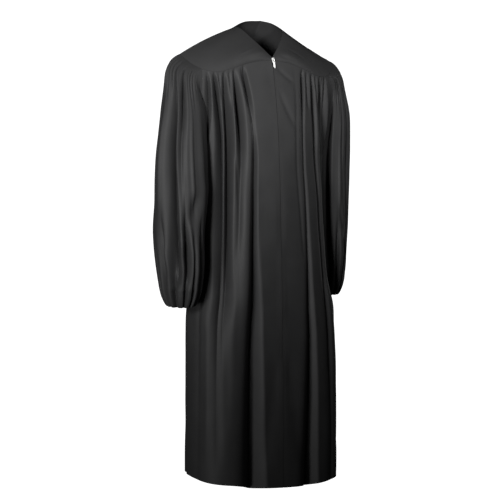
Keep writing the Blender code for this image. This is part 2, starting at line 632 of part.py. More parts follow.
def make_side(side, folds, tube, sleeve_folds, back_yoke, back_panel):
    """One side's yoke, front, zip tape and sleeve, worked out at +X and mirrored for the right side.

    back_yoke and back_panel are the back's outer points and normals as seen from this side.
    """
    corner = math.degrees(corner_turn(False))
    every_fold = with_shorts(folds)
    tops, _, _ = panel_lines(every_fold, (0.0, 0.0, 0.0), (corner, 90.0, 90.0))
    yoke = yoke_side(tops[::2], False, side)
    yoke_normals, yoke_mitre = grid_normals(yoke)
    yoke_normals[:, -1] = unit(yoke_normals[:, -1] + back_yoke[1][:, 0])
    back_yoke[1][:, 0] = yoke_normals[:, -1]
    yoke_normals[:, 0] = unit(yoke_normals[:, 0] * np.array((0.0, 1.0, 1.0)))
    yoke_mitre[-1] = 1
    yoke_mitre[:, -1] = 1
    yoke_mitre[:, 0] = 1
    across = len(tops[::2])
    start = (0.0, 0.0, 0.0)
    end = (corner, 90.0, 90.0)
    front, front_normals, front_mitre = panel(every_fold, start, end, False, side,
                                              yoke[-1, :across], yoke_normals[-1, :across])

    gap_x = np.array((SEAM_GAP, 0, 0))
    front_end = yoke[-1, across - 1:]
    front_end_normals = yoke_normals[-1, across - 1:]
    back_end = back_yoke[0][-1, :HEAD_COLUMNS // 2 + 1][::-1]
    back_end_normals = back_yoke[1][-1, :HEAD_COLUMNS // 2 + 1][::-1]
    rows = len(CHEST_ROWS)
    head_shift = SEAM_GAP * below_seam(front_end, front_end_normals)
    back_shift = -SEAM_GAP * below_seam(back_end, back_end_normals)
    fade = np.linspace(1, 0, HEAD_COLUMNS // 2 + 1)[:, None]
    armhole = armhole_line(front_end + head_shift + gap_x * fade, front[:rows, -1] + gap_x,
                           back_panel[0][:rows, 0] + gap_x, back_end + back_shift + gap_x * fade)
    sleeve_points = sleeve(armhole, tube, sleeve_folds)[:, ::-1]
    sleeve_normals, sleeve_mitre = grid_normals(sleeve_points, closed_around=True)
    own = armhole_line(front_end_normals, front_normals[:rows, -1], back_panel[1][:rows, 0],
                       back_end_normals)[::-1]
    place = np.arange(AROUND)
    is_head = ((place <= HEAD_COLUMNS) | (place >= AROUND - HEAD_COLUMNS))[::-1, None]
    nothing = np.zeros_like(front_end)
    into_body = armhole_line(nothing, front[:rows, -2] - front[:rows, -1],
                             back_panel[0][:rows, 1] - back_panel[0][:rows, 0], nothing)[::-1]
    into_body /= np.maximum(np.linalg.norm(into_body, axis=1, keepdims=True), SEAM_GAP)
    rim = sleeve_normals[0]
    lean = np.minimum(np.sum(rim * into_body, -1, keepdims=True), 0)
    sleeve_normals[0] = np.where(is_head, own, unit(rim - into_body * lean))
    sleeve_mitre[0] = 1

    tape = zip_tape(front, front_normals)
    yoke = yoke.copy()
    yoke[:, 0, 0] += SLIT_HALF
    yoke[:, -1] -= np.array((0, SEAM_GAP / 2, 0))
    front[:, 0, 0] += SLIT_HALF
    front[rows - 1:, -1] -= np.array((0, SEAM_GAP / 2, 0))

    grids = {
        "yoke_front": (yoke, yoke_normals, yoke_mitre, False),
        "front": (front, front_normals, front_mitre, False),
        "sleeve": (sleeve_points, sleeve_normals, sleeve_mitre, True),
    }
    grids["zip_tape"] = tape
    for name, (points, normals, mitre, closed) in grids.items():
        if side == "right":
            points = mirrored(points)[:, ::-1]
            normals = mirrored(normals)[:, ::-1]
            mitre = mitre[:, ::-1]
        thick = TAPE_THICK if name == "zip_tape" else WALL
        cloth_wall(name + "_" + side, points, normals, mitre, thick, closed)
    return back_yoke[1][:, 0]


def zip_tape(front, front_normals):
    """A zip tape's outer face: the front's own inner face beside the zip, moved in by the seam gap."""
    first = front[:, 0].copy()
    second = front[:, 1].copy()
    raise_share = TAPE_FOOT_RAISE / (first[-2, 2] - first[-1, 2])
    for line in (first, second):
        line[-1] += (line[-2] - line[-1]) * raise_share
    inset = WALL + SEAM_GAP
    start = first - front_normals[:, 0] * inset
    span = second - front_normals[:, 1] * inset - start
    share_per_metre = (1 / span[:, 0])[:, None]
    edges = [start + span * share_per_metre * x for x in (SEAM_GAP / 2, TAPE_WIDTH)]
    points = np.stack(edges, 1)
    end = points[0] + unit(points[0] - points[1]) * TAPE_END + np.array((0, TAPE_END_TURN, 0))
    points = np.concatenate([end[None], points])
    normals, mitre = grid_normals(points)
    normals[:, :, 0] = 0
    return points, unit(normals), np.ones_like(mitre), False


def make_back():
    """The back yoke and the back. Returns their outer points and normals, where both sides meet them."""
    corner = math.degrees(corner_turn(True))
    folds = with_shorts(BACK_FOLDS)
    start = (-corner, -90.0, -90.0)
    end = (corner, 90.0, 90.0)
    tops, _, _ = panel_lines(folds, start, end)
    seam_turns = tops[::2]
    left = yoke_side(seam_turns[seam_turns >= 0], True, "left")
    right = mirrored(yoke_side(-seam_turns[seam_turns <= 0][::-1], True, "right"))
    yoke = np.concatenate([left[:, ::-1], right[:, 1:]], 1)
    yoke_normals, yoke_mitre = grid_normals(yoke)
    ends = HEAD_COLUMNS // 2
    back, back_normals, back_mitre = panel(folds, start, end, True, None, yoke[-1, ends:-ends],
                                           yoke_normals[-1, ends:-ends])
    return (yoke, yoke_normals, yoke_mitre), (back, back_normals, back_mitre)


def from_side(side, points, normals):
    """The back's points and normals as the left side sees them, also for the right side."""
    if side == "left":
        return points.copy(), normals.copy()
    return mirrored(points)[:, ::-1], mirrored(normals)[:, ::-1]


def add_back(yoke, yoke_normals, yoke_mitre, back, back_normals, back_mitre, shoulders):
    """The back's walls, drawn back from the shoulder and side seams by half a seam's gap.

    shoulders holds the normals that the left and the right shoulder seam share with the fronts.
    """
    aside = np.array((0, SEAM_GAP / 2, 0))
    yoke = yoke.copy()
    back = back.copy()
    yoke_normals[:, 0] = shoulders[0]
    yoke_normals[:, -1] = mirrored(shoulders[1])
    underarm_row = len(CHEST_ROWS) - 1
    yoke_mitre[-1] = 1
    for column in (0, -1):
        yoke[:, column] += aside
        yoke_mitre[:, column] = 1
        back[underarm_row:, column] += aside
    cloth_wall("yoke_back", yoke, yoke_normals, yoke_mitre)
    cloth_wall("back", back, back_normals, back_mitre)


def prism(outline, low, high):
    """A mesh between an anticlockwise outline at z low and the same outline at z high."""
    made = bmesh.new()
    base = made.faces.new([made.verts.new((x, y, low)) for x, y in outline])
    top = bmesh.ops.extrude_face_region(made, geom=[base])
    risen = [item for item in top["geom"] if isinstance(item, bmesh.types.BMVert)]
    bmesh.ops.translate(made, verts=risen, vec=(0, 0, high - low))
    bmesh.ops.recalc_face_normals(made, faces=made.faces[:])
    return made


def add_hard_piece(name, shape, place, finish):
    """A shape as an object at its place, smooth but for its sharp edges."""
    mesh = bpy.data.meshes.new(name)
    shape.to_mesh(mesh)
    shape.free()
    mesh.shade_smooth()
    mesh.set_sharp_from_angle(angle=SHARP_ANGLE)
    mesh.materials.append(finish)
    made = bpy.data.objects.new(name, mesh)
    made.matrix_world = place
    bpy.context.collection.objects.link(made)
    return made


def round_edges(target, width, segments, angle):
    rounding = target.modifiers.new("rounded edges", "BEVEL")
    rounding.width = width
    rounding.segments = segments
    rounding.limit_method = "ANGLE"
    rounding.angle_limit = angle


def add_boolean(target, cutter, operation):
    cutter.hide_render = True
    cutter.display_type = "WIRE"
    step = target.modifiers.new(operation.lower(), "BOOLEAN")
    step.operation = operation
    step.object = cutter


def rounded_strip(top_width, foot_width, top, foot, corner):
    """An outline from y top down to y foot, with round corners at the top and a round foot."""
    points = []
    foot_radius = foot_width / 2
    for step in range(ARC_STEPS + 1):
        angle = math.pi + math.pi * step / ARC_STEPS
        points.append((foot_radius * math.cos(angle), foot + foot_radius + foot_radius * math.sin(angle)))
    for side, start in ((1, 0.0), (-1, math.pi / 2)):
        for step in range(CORNER_STEPS + 1):
            angle = start + math.pi / 2 * step / CORNER_STEPS
            centre_x = side * (top_width / 2 - corner)
            points.append((centre_x + corner * math.cos(angle), top - corner + corner * math.sin(angle)))
    return points


def bail_outline():
    """The bail from the side: a half ellipse less a smaller one, with its feet sunk in the slider."""
    outer = []
    inner = []
    half_length = BAIL_LENGTH / 2
    for step in range(ARC_STEPS + 1):
        along = math.cos(math.pi * step / ARC_STEPS)
        up = math.sin(math.pi * step / ARC_STEPS)
        outer.append((half_length * along, BAIL_RISE * up))
        inner.append(((half_length - BAIL_THICK) * along, (BAIL_RISE - BAIL_THICK) * up))
    outer = [(outer[0][0], -BAIL_SUNK)] + outer + [(outer[-1][0], -BAIL_SUNK)]
    inner = [(inner[0][0], -BAIL_SUNK)] + inner + [(inner[-1][0], -BAIL_SUNK)]
    return outer + inner[::-1]


def slider_frame():
    """Place of the slider on the cloth: X across, Y up along the cloth and Z out of it, leant a little."""
    upper, _ = body(0.0, SLIDER_HEIGHT + SLIDER_SEAT_REACH)
    lower, _ = body(0.0, SLIDER_HEIGHT - SLIDER_SEAT_REACH)
    point, _ = body(0.0, SLIDER_HEIGHT)
    up = Vector(upper - lower).normalized()
    out = Vector((1, 0, 0)).cross(up)
    turned = Matrix((Vector((1, 0, 0)), up, out)).transposed().to_4x4()
    place = Matrix.Translation(Vector(point) + out * SEAM_GAP)
    return place @ turned @ Matrix.Rotation(SLIDER_LEAN, 4, "Z")


def slider_outline():
    """The slider from the front: wide shoulders with a dip between them, and a narrower foot."""
    half = SLIDER_LENGTH / 2
    top = SLIDER_TOP_WIDTH / 2
    foot = SLIDER_FOOT_WIDTH / 2
    cut = SLIDER_CHAMFER
    shoulder = [(top, half - 2 * cut), (top - cut, half - cut / 2), (cut, half)]
    right = [(foot - cut, -half), (foot, cut - half)] + shoulder
    left = [(-x, y) for x, y in reversed(right)]
    return right + [(0, half - cut / 2)] + left


def round_hole(centre_y, radius):
    turns = [2 * math.pi * step / ARC_STEPS for step in range(ARC_STEPS)]
    return [(radius * math.cos(turn), centre_y + radius * math.sin(turn)) for turn in turns]


def add_slider(frame, metal):
    """The slider's body with the bail that holds the pull tab joined on its face."""
    slider = add_hard_piece("zip_slider", prism(slider_outline(), 0, SLIDER_THICK), frame, metal)
    round_edges(slider, SLIDER_EDGE, 2, SHARP_ANGLE)
    stood_up = Matrix(((0, 0, 1, 0), (1, 0, 0, 0), (0, 1, 0, 0), (0, 0, 0, 1)))
    place = frame @ Matrix.Translation((0, 0, SLIDER_THICK)) @ stood_up
    bail = add_hard_piece("bail", prism(bail_outline(), -BAIL_WIDTH / 2, BAIL_WIDTH / 2), place, metal)
    add_boolean(slider, bail, "UNION")


def add_pull(frame, metal):
    """The pull tab: its origin is on the hinge, in the bar across its top that lies in the bail."""
    hinge = frame @ Matrix.Translation((0, -HINGE_DROP, SLIDER_THICK + HINGE_RISE))
    half_thick = PULL_THICK / 2
    foot = half_thick - PULL_LENGTH
    outline = rounded_strip(PULL_TOP_WIDTH, PULL_FOOT_WIDTH, half_thick, foot, PULL_CORNER)
    pull = add_hard_piece("zip_pull", prism(outline, -half_thick, half_thick), hinge, metal)
    half_eye = PULL_EYE_WIDTH / 2
    eye_foot = -half_thick - PULL_EYE_LENGTH
    eye = [(-half_eye, eye_foot), (half_eye, eye_foot), (half_eye, -half_thick), (-half_eye, -half_thick)]
    hole = round_hole(foot + PULL_FOOT_WIDTH / 2, PULL_HOLE_RADIUS)
    for name, shape in (("eye", eye), ("hole", hole)):
        cutter = add_hard_piece(name, prism(shape, -PULL_THICK, PULL_THICK), hinge, metal)
        add_boolean(pull, cutter, "DIFFERENCE")
    round_edges(pull, PULL_EDGE, 1, EDGE_ANGLE)


def add_zip_hardware():
    metal = material("zip metal", METAL_COLOUR, METAL_ROUGHNESS, 1.0)
    frame = slider_frame()
    add_slider(frame, metal)
    add_pull(frame, metal)


def build():
    for thing in list(bpy.data.objects):
        bpy.data.objects.remove(thing)
    back_yoke, back_panel = make_back()
    left_shoulder = make_side("left", LEFT_FRONT_FOLDS, LEFT_TUBE, LEFT_SLEEVE_FOLDS,
                              from_side("left", *back_yoke[:2]), from_side("left", *back_panel[:2]))
    right_shoulder = make_side("right", RIGHT_FRONT_FOLDS, RIGHT_TUBE, RIGHT_SLEEVE_FOLDS,
                               from_side("right", *back_yoke[:2]), from_side("right", *back_panel[:2]))
    add_back(*back_yoke, *back_panel, (left_shoulder, right_shoulder))
    add_zip_hardware()


build()
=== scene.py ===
"""The looks of a baptismal robe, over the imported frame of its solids.

Metres, +Z up, in the frame's own coordinates: the front faces -Y and the wearer's right is at -X. Each cloth
piece is a fine grid on the same form as its solid, with the creases that the solid leaves out, and stands in
for that solid. The script is laid out as an add-on: one operator makes each group of pieces, and main runs
them in order.
"""
import math
from collections import namedtuple

import bpy
import numpy as np
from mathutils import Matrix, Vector


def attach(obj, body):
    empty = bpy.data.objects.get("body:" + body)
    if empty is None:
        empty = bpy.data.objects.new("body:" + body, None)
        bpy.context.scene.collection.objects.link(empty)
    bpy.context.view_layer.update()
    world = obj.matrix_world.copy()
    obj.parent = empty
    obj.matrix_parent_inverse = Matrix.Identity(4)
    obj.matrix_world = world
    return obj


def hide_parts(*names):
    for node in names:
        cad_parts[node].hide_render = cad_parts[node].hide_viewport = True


bl_info = {
    "name": "Baptismal robe",
    "version": (1, 0, 0),
    "blender": (4, 5, 0),
    "location": "3D View > Sidebar > Robe",
    "description": "Black full-length robe with a smooth yoke, gathered body and full gathered sleeves",
    "category": "Object",
}

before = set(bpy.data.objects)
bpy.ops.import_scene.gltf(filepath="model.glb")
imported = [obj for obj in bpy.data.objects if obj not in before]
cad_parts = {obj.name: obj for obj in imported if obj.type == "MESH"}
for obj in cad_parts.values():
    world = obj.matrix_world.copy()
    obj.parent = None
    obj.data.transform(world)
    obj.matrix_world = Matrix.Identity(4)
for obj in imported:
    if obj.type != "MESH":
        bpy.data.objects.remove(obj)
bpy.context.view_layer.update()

# Gaps, in metres: between pieces at the yoke's and the sleeves' seams, half the zip's slit, and between the
# front and the back at the side seam
SEAM_GAP = 0.0003
SLIT_HALF = 0.0006
SIDE_GAP = 0.00006

# Heights of the underarm and of the hem, in metres from the side of the neck
UNDERARM = -0.360
HEM = -1.278
# How much lower the hem hangs in a fold, as a share of the fold's depth
HEM_SAG = 0.30
# The hem's height from side to side, by x at the hem: it hangs lower on the wearer's left
HemPoint = namedtuple("HemPoint", "x rise")
HEM_LINE = (
    HemPoint(-0.230, 0.035),
    HemPoint(-0.140, 0.023),
    HemPoint(-0.080, 0.010),
    HemPoint(0.000, -0.001),
    HemPoint(0.080, -0.008),
    HemPoint(0.160, -0.009),
    HemPoint(0.230, -0.004),
)

# Torso and skirt: half width, and depth to the front and to the back of the shoulder line.
# Square fills out the corners of the section's front half, as a share of its size.
Section = namedtuple("Section", "height half_width front back square")
BODY = (
    Section(0.020, 0.262, 0.050, 0.060, 0.000),
    Section(-0.100, 0.2520, 0.073, 0.098, 0.000),
    Section(-0.140, 0.2490, 0.079, 0.105, 0.000),
    Section(-0.200, 0.2385, 0.090, 0.115, 0.000),
    Section(-0.280, 0.2205, 0.101, 0.121, 0.000),
    Section(-0.360, 0.2035, 0.108, 0.123, 0.000),
    Section(-0.470, 0.1965, 0.115, 0.123, 0.020),
    Section(-0.600, 0.1965, 0.120, 0.127, 0.040),
    Section(-0.720, 0.2090, 0.124, 0.133, 0.050),
    Section(-0.785, 0.2245, 0.126, 0.138, 0.055),
    Section(-0.860, 0.2250, 0.128, 0.141, 0.068),
    Section(-0.960, 0.2255, 0.130, 0.143, 0.074),
    Section(-1.310, 0.2300, 0.135, 0.149, 0.074),
)

# Neckline: the front from the V to the side of the neck, the back from there to the centre
NeckPoint = namedtuple("NeckPoint", "share x y z")
NECK_FRONT = (
    NeckPoint(0.00, 0.0000, -0.0700, -0.0920),
    NeckPoint(0.33, 0.0250, -0.0555, -0.0640),
    NeckPoint(0.67, 0.0500, -0.0345, -0.0350),
    NeckPoint(0.90, 0.0695, -0.0120, -0.0105),
    NeckPoint(1.00, 0.0755, 0.0000, -0.0050),
)
NECK_BACK = (
    NeckPoint(0.00, 0.0755, 0.0000, -0.0050),
    NeckPoint(0.20, 0.0675, 0.0130, 0.0030),
    NeckPoint(0.50, 0.0450, 0.0270, 0.0145),
    NeckPoint(1.00, 0.0000, 0.0360, 0.0215),
)
# The back of the neckline sits a little towards the wearer's left
NECK_LEAN = 0.024

# Yoke seam across the body, by the turn round the wearer in degrees from the centre
SeamPoint = namedtuple("SeamPoint", "turn height")
FRONT_SEAM = (
    SeamPoint(0.0, -0.099),
    SeamPoint(13.7, -0.107),
    SeamPoint(28.4, -0.125),
    SeamPoint(40.8, -0.137),
    SeamPoint(48.8, -0.135),
)
BACK_SEAM = (
    SeamPoint(0.0, -0.150),
    SeamPoint(20.0, -0.148),
    SeamPoint(40.0, -0.141),
)
FRONT_CORNER_HEIGHT = -0.130
BACK_CORNER_HEIGHT = -0.134

# The yoke's end, from the corner of the armhole up to the tip of the shoulder
SHOULDER_TIP = {"left": (0.244, 0.000, -0.0885), "right": (0.2475, 0.000, -0.088)}
END_BOW = (0.004, 0.003, -0.003)

# How far the yoke swells out between the neckline and its edge
YOKE_SWELL_FRONT = 0.011
YOKE_SWELL_BACK = 0.014
SHOULDER_SWELL = {"left": -0.0060, "right": 0.0055}

# Folds. The turn is in degrees from the centre front, or from the centre back on the back, at the yoke
# seam, at the underarm level and at the hem. Spread is half the mouth of the fold, in degrees, and lean
# makes one of its sides steeper. Depths are inward, in metres, just below the seam, at the chest, the waist,
# the thigh and the hem. Shorts counts the short gathers between this fold and the next one. The right
# front's first two rows are the upper and the lower part of its pleat.
Fold = namedtuple("Fold", "top mid foot spread_mid spread_foot lean gather chest waist thigh hem shorts")
RIGHT_FRONT_FOLDS = (
    Fold(22.0, 21.5, 19.5, 3.6, 8.5, 0.25, 0.013, 0.006, 0.024, 0.008, 0.000, 1),
    Fold(25.0, 20.5, 21.5, 5.0, 12.0, 0.40, 0.000, 0.000, 0.003, 0.036, 0.048, 0),
    Fold(28.0, 31.5, 31.0, 5.5, 7.0, -0.10, 0.012, 0.034, 0.004, 0.000, 0.000, 1),
    Fold(36.0, 45.5, 43.0, 8.0, 10.0, 0.00, 0.012, 0.048, 0.044, 0.004, 0.000, 1),
    Fold(44.5, 53.0, 50.0, 6.0, 10.0, 0.10, 0.014, 0.040, 0.030, 0.006, 0.000, 0),
    Fold(50.0, 78.0, 76.0, 6.0, 9.0, 0.20, 0.008, 0.012, 0.010, 0.005, 0.002, 0),
)
LEFT_FRONT_FOLDS = (
    Fold(22.5, 24.5, 15.5, 3.0, 9.0, -0.40, 0.013, 0.006, 0.010, 0.026, 0.046, 1),
    Fold(31.5, 41.5, 36.0, 5.0, 7.0, -0.30, 0.013, 0.022, 0.012, 0.006, 0.004, 1),
    Fold(40.5, 60.0, 56.0, 9.5, 11.0, -0.30, 0.013, 0.036, 0.038, 0.022, 0.018, 1),
    Fold(47.0, 75.0, 76.0, 7.0, 9.0, -0.20, 0.009, 0.018, 0.020, 0.010, 0.006, 0),
)
BACK_FOLDS = (
    Fold(-50.0, -78.0, -80.0, 6.3, 8.5, 0.00, 0.008, 0.017, 0.017, 0.009, 0.006, 0),
    Fold(-45.0, -64.0, -66.0, 6.3, 8.5, 0.20, 0.008, 0.015, 0.020, 0.013, 0.011, 1),
    Fold(-35.5, -48.5, -50.0, 7.3, 9.5, -0.25, 0.008, 0.018, 0.024, 0.020, 0.022, 2),
    Fold(-22.0, -29.0, -32.0, 6.8, 9.5, 0.00, 0.008, 0.015, 0.020, 0.022, 0.029, 1),
    Fold(-12.5, -15.0, -13.0, 5.8, 8.5, 0.20, 0.008, 0.012, 0.010, 0.007, 0.012, 1),
    Fold(0.0, -1.5, 2.0, 6.8, 9.0, -0.25, 0.008, 0.017, 0.018, 0.019, 0.023, 2),
    Fold(10.5, 14.5, 17.0, 5.8, 8.5, 0.00, 0.008, 0.013, 0.011, 0.009, 0.011, 1),
    Fold(20.0, 29.0, 33.0, 6.8, 10.0, 0.20, 0.008, 0.018, 0.022, 0.024, 0.031, 2),
    Fold(34.0, 47.0, 49.0, 6.8, 9.5, -0.25, 0.008, 0.015, 0.017, 0.015, 0.016, 1),
    Fold(44.0, 63.0, 65.0, 6.8, 9.0, 0.00, 0.009, 0.018, 0.022, 0.013, 0.010, 0),
    Fold(50.0, 78.0, 79.0, 5.8, 8.5, 0.20, 0.008, 0.013, 0.015, 0.007, 0.006, 0),
)
# Short gathers: their depth, in metres, the shares of it that they take by turns, and half their mouth, in
# degrees. The last line is half the mouth of a long fold at the yoke seam.
SHORT_GATHER_DEPTH = 0.0055
SHORT_SHARES = (0.9, 1.15)
SHORT_SPREAD = 3.0
GATHER_SPREAD = 2.1
# Levels at which the folds' spread changes: 0 is the yoke seam, 1 the underarm and 2 the hem
SPREAD_LEVELS = (0.0, 0.25, 1.0, 2.0)

# Turn of the side seam from the centre of the front or the back, in degrees
SIDE_TURN = 90.0
# Powers that say how a line's straight hang gives way near the side: to the armhole's curve above the
# underarm, to the side seam's own line below it, and how close to the underarm the first one lets go
EDGE_FOLLOWING = 2.2
SIDE_HOLD = 4.0
EDGE_RELEASE = 6

# Rows of the fronts and back: shares of the way from the yoke seam to the underarm, then to the hem
CHEST_ROWS = (0.0, 0.045, 0.11, 0.20, 0.32, 0.46, 0.62, 0.80, 1.0)
SKIRT_ROWS = (0.11, 0.24, 0.39, 0.55, 0.72, 0.87, 1.0)
# Levels at which the folds' depths are given, counted in the same way
DEPTH_LEVELS = (0.0, 0.11, 0.70, 1.25, 1.60, 2.0)

# Sleeves: the tube's centre and half sizes at a height. The wearer's right one hangs further forward.
Tube = namedtuple("Tube", "height centre_x centre_y half_width half_depth")
RIGHT_TUBE = (
    Tube(-0.060, 0.2400, -0.004, 0.0360, 0.052),
    Tube(-0.110, 0.2480, -0.006, 0.0400, 0.058),
    Tube(-0.165, 0.2500, -0.008, 0.0420, 0.062),
    Tube(-0.240, 0.2540, -0.011, 0.0480, 0.070),
    Tube(-0.340, 0.2620, -0.016, 0.0560, 0.073),
    Tube(-0.460, 0.2670, -0.026, 0.0615, 0.081),
    Tube(-0.580, 0.2700, -0.035, 0.0650, 0.089),
    Tube(-0.660, 0.2695, -0.040, 0.0610, 0.084),
    Tube(-0.715, 0.2690, -0.043, 0.0550, 0.072),
)
LEFT_TUBE = (
    Tube(-0.060, 0.2360, 0.002, 0.0300, 0.050),
    Tube(-0.110, 0.2450, 0.006, 0.0340, 0.055),
    Tube(-0.165, 0.2470, 0.014, 0.0400, 0.059),
    Tube(-0.240, 0.2570, 0.026, 0.0500, 0.066),
    Tube(-0.340, 0.2610, 0.038, 0.0540, 0.068),
    Tube(-0.460, 0.2620, 0.044, 0.0550, 0.073),
    Tube(-0.580, 0.2630, 0.048, 0.0560, 0.076),
    Tube(-0.670, 0.2640, 0.052, 0.0530, 0.073),
    Tube(-0.729, 0.2660, 0.055, 0.0500, 0.065),
)
# Drop below the armhole's line over which a sleeve leaves that line's shape for the tube's: from side to
# side, and from front to back
HEAD_BLEND = 0.015
HEAD_BLEND_DEPTH = 0.080

# The gathered wrist: rings below the tube, as a share of its last section
WristRing = namedtuple("WristRing", "drop scale")
WRIST = (
    WristRing(0.022, 0.905),
    WristRing(0.040, 0.770),
    WristRing(0.049, 0.650),
    WristRing(0.046, 0.575),
)

# Rows of a sleeve: shares of the way from the armhole's line to the foot of the tube
SLEEVE_ROWS = (0.014, 0.04, 0.09, 0.16, 0.26, 0.38, 0.52, 0.66, 0.80, 0.91, 1.0)
# Levels at which the depths of a sleeve's folds are given, counted in the same way
SLEEVE_DEPTH_LEVELS = (0.0, 0.07, 0.35, 0.65, 0.90, 1.0)

# Gathers of the sleeves' heads and wrists: their depth in metres, and how many there would be all round
HEAD_GATHER_DEPTH = 0.0080
WRIST_GATHER_DEPTH = 0.0140
HEAD_GATHERS = 30
WRIST_GATHERS = 13
# How far they stray from their even places, as a share of a turn, and how many times round
STRAY = 0.012
STRAY_WAVES = 4
# How uneven their depths are, by a quick wave and a slow one, each with its number round, and the quick
# one's start in radians
UNEVEN_GATHERS = 0.95
QUICK_WAVES = 7
SLOW_WAVES = 4
QUICK_START = 1
# How strongly the gathers show at levels down the sleeve, from its head, 0, to the foot of the tube, 1
Wave = namedtuple("Wave", "level strength")
HEAD_WAVES = (
    Wave(0.00, 0.00),
    Wave(0.02, 1.00),
    Wave(0.07, 0.75),
    Wave(0.13, 0.25),
    Wave(0.21, 0.00),
)
WRIST_WAVES = (
    Wave(0.00, 0.00),
    Wave(0.70, 0.00),
    Wave(0.88, 0.45),
    Wave(1.00, 1.00),
)

# Sleeve folds: the place round the sleeve as a share of a whole turn from the outside, by way of the
# front, at the head and at the wrist, then inward depths at the head, the upper arm, the elbow and the
# forearm
SleeveFold = namedtuple("SleeveFold", "head wrist spread lean depth_head depth_upper depth_elbow "
                                      "depth_forearm")
RIGHT_SLEEVE_FOLDS = (
    SleeveFold(0.070, 0.104, 0.076, -0.55, 0.008, 0.044, 0.042, 0.030),
    SleeveFold(0.200, 0.180, 0.042, 0.00, 0.018, 0.014, 0.000, 0.000),
    SleeveFold(0.185, 0.222, 0.034, 0.10, 0.000, 0.000, 0.006, 0.028),
    SleeveFold(0.040, 0.046, 0.022, 0.00, 0.000, 0.000, 0.000, 0.014),
    SleeveFold(0.320, 0.320, 0.030, -0.30, 0.000, 0.000, 0.000, 0.012),
    SleeveFold(0.450, 0.430, 0.050, 0.00, 0.003, 0.006, 0.010, 0.010),
    SleeveFold(0.640, 0.620, 0.060, 0.30, 0.004, 0.012, 0.014, 0.010),
    SleeveFold(0.780, 0.770, 0.055, 0.00, 0.006, 0.013, 0.013, 0.012),
    SleeveFold(0.900, 0.895, 0.044, -0.30, 0.005, 0.009, 0.011, 0.010),
)
LEFT_SLEEVE_FOLDS = (
    SleeveFold(0.060, 0.040, 0.044, 0.00, 0.004, 0.009, 0.011, 0.006),
    SleeveFold(0.195, 0.175, 0.044, 0.20, 0.007, 0.012, 0.009, 0.006),
    SleeveFold(0.395, 0.385, 0.055, 0.35, 0.008, 0.018, 0.018, 0.012),
    SleeveFold(0.500, 0.490, 0.040, 0.00, 0.000, 0.008, 0.011, 0.008),
    SleeveFold(0.290, 0.280, 0.026, 0.00, 0.000, 0.000, 0.000, 0.010),
    SleeveFold(0.620, 0.640, 0.050, 0.00, 0.005, 0.011, 0.013, 0.010),
    SleeveFold(0.740, 0.760, 0.048, 0.30, 0.006, 0.012, 0.015, 0.012),
    SleeveFold(0.870, 0.880, 0.050, 0.00, 0.005, 0.011, 0.011, 0.010),
)

# How finely the cloth is drawn: steps between each two rows or lines of the tables above, and from a yoke's
# neckline to its edge
DOWN_STEPS = 6
SKIRT_STEPS = 16
FRONT_STEPS = 8
BACK_STEPS = 5
YOKE_STEPS = 32
SLEEVE_STEPS = 7
WRIST_STEPS = 6
# Columns of the yoke's end, on the front or the back. A sleeve has twice as many there, then its columns
# down the armhole to the underarm, and last the number of its columns all round.
END_COLUMNS = 48
HEAD_COLUMNS = 2 * END_COLUMNS
ARMHOLE_COLUMNS = (len(CHEST_ROWS) - 1) * DOWN_STEPS
AROUND = 2 * (HEAD_COLUMNS + ARMHOLE_COLUMNS)
# An edge that bends by more than this is drawn sharp
SHARP_ANGLE = math.radians(60)
# How much of each row's own length goes into the weave's place across. The rest is the mean of all the rows,
# so that the weave stays even.
OWN_LENGTH_SHARE = 0.25

# A fold's section: how rounded its valley is, as a share of half its mouth, and how narrow
VALLEY_SOFTNESS = 0.07
VALLEY_POWER = 1.6

# Metres across the fronts and back for each degree round the wearer, and round a sleeve
METRES_PER_DEGREE = 0.0031
SLEEVE_GIRTH = 0.400
# Small creases fade out by a seam, over this share of a level, by the side and the zip, over so many
# degrees, and by the ends of a yoke, over this share of its edge
SEAM_FADE = 0.08
SIDE_FADE = 8.0
ZIP_FADE = 4.0
YOKE_CALM = 0.06
# How fast a crease deepens with the share of its length from either end, and its start there
CREASE_GROWTH = 3.0
CREASE_START = 0.15

# Slow unevenness of the cloth: waves by radians for each metre across and down, then its depth in metres on
# the body and sleeves and on the yokes
Wander = namedtuple("Wander", "across down start strength")
SLACK = (
    Wander(52.0, 9.0, 0.3, 0.40),
    Wander(-31.0, 17.0, 1.7, 0.35),
    Wander(83.0, -13.0, 4.1, 0.25),
    Wander(24.0, 38.0, 2.4, 0.30),
    Wander(118.0, 21.0, 5.2, 0.14),
    Wander(-67.0, 61.0, 0.9, 0.12),
)
SLACK_DEPTH = 0.0012
YOKE_SLACK = 0.0005

# Listed creases. A front's or the back's are placed across by metres from its centre, towards the wearer's
# left on the back, and down by metres from the shoulder. A yoke's are placed by metres along its edge from
# its centre, and down from the neckline. A sleeve's are placed by metres round from its outside by way of
# its front, and down from the shoulder. Bow bends the line aside, and a negative depth is a ridge.
Crease = namedtuple("Crease", "across_start down_start across_end down_end bow width depth")
RIGHT_FRONT_CREASES = (
    Crease(0.098, 0.400, 0.084, 0.860, 0.004, 0.021, -0.0100),
    Crease(0.122, 0.330, 0.112, 0.640, 0.008, 0.006, 0.0030),
    Crease(0.089, 0.170, 0.094, 0.300, 0.000, 0.0035, 0.0022),
    Crease(0.014, 0.900, 0.048, 1.270, 0.006, 0.014, 0.0034),
    Crease(0.108, 0.560, 0.106, 1.150, 0.004, 0.012, -0.0022),
    Crease(0.190, 0.700, 0.192, 1.220, 0.006, 0.012, -0.0026),
    Crease(0.150, 0.820, 0.145, 1.230, 0.004, 0.014, 0.0022),
)
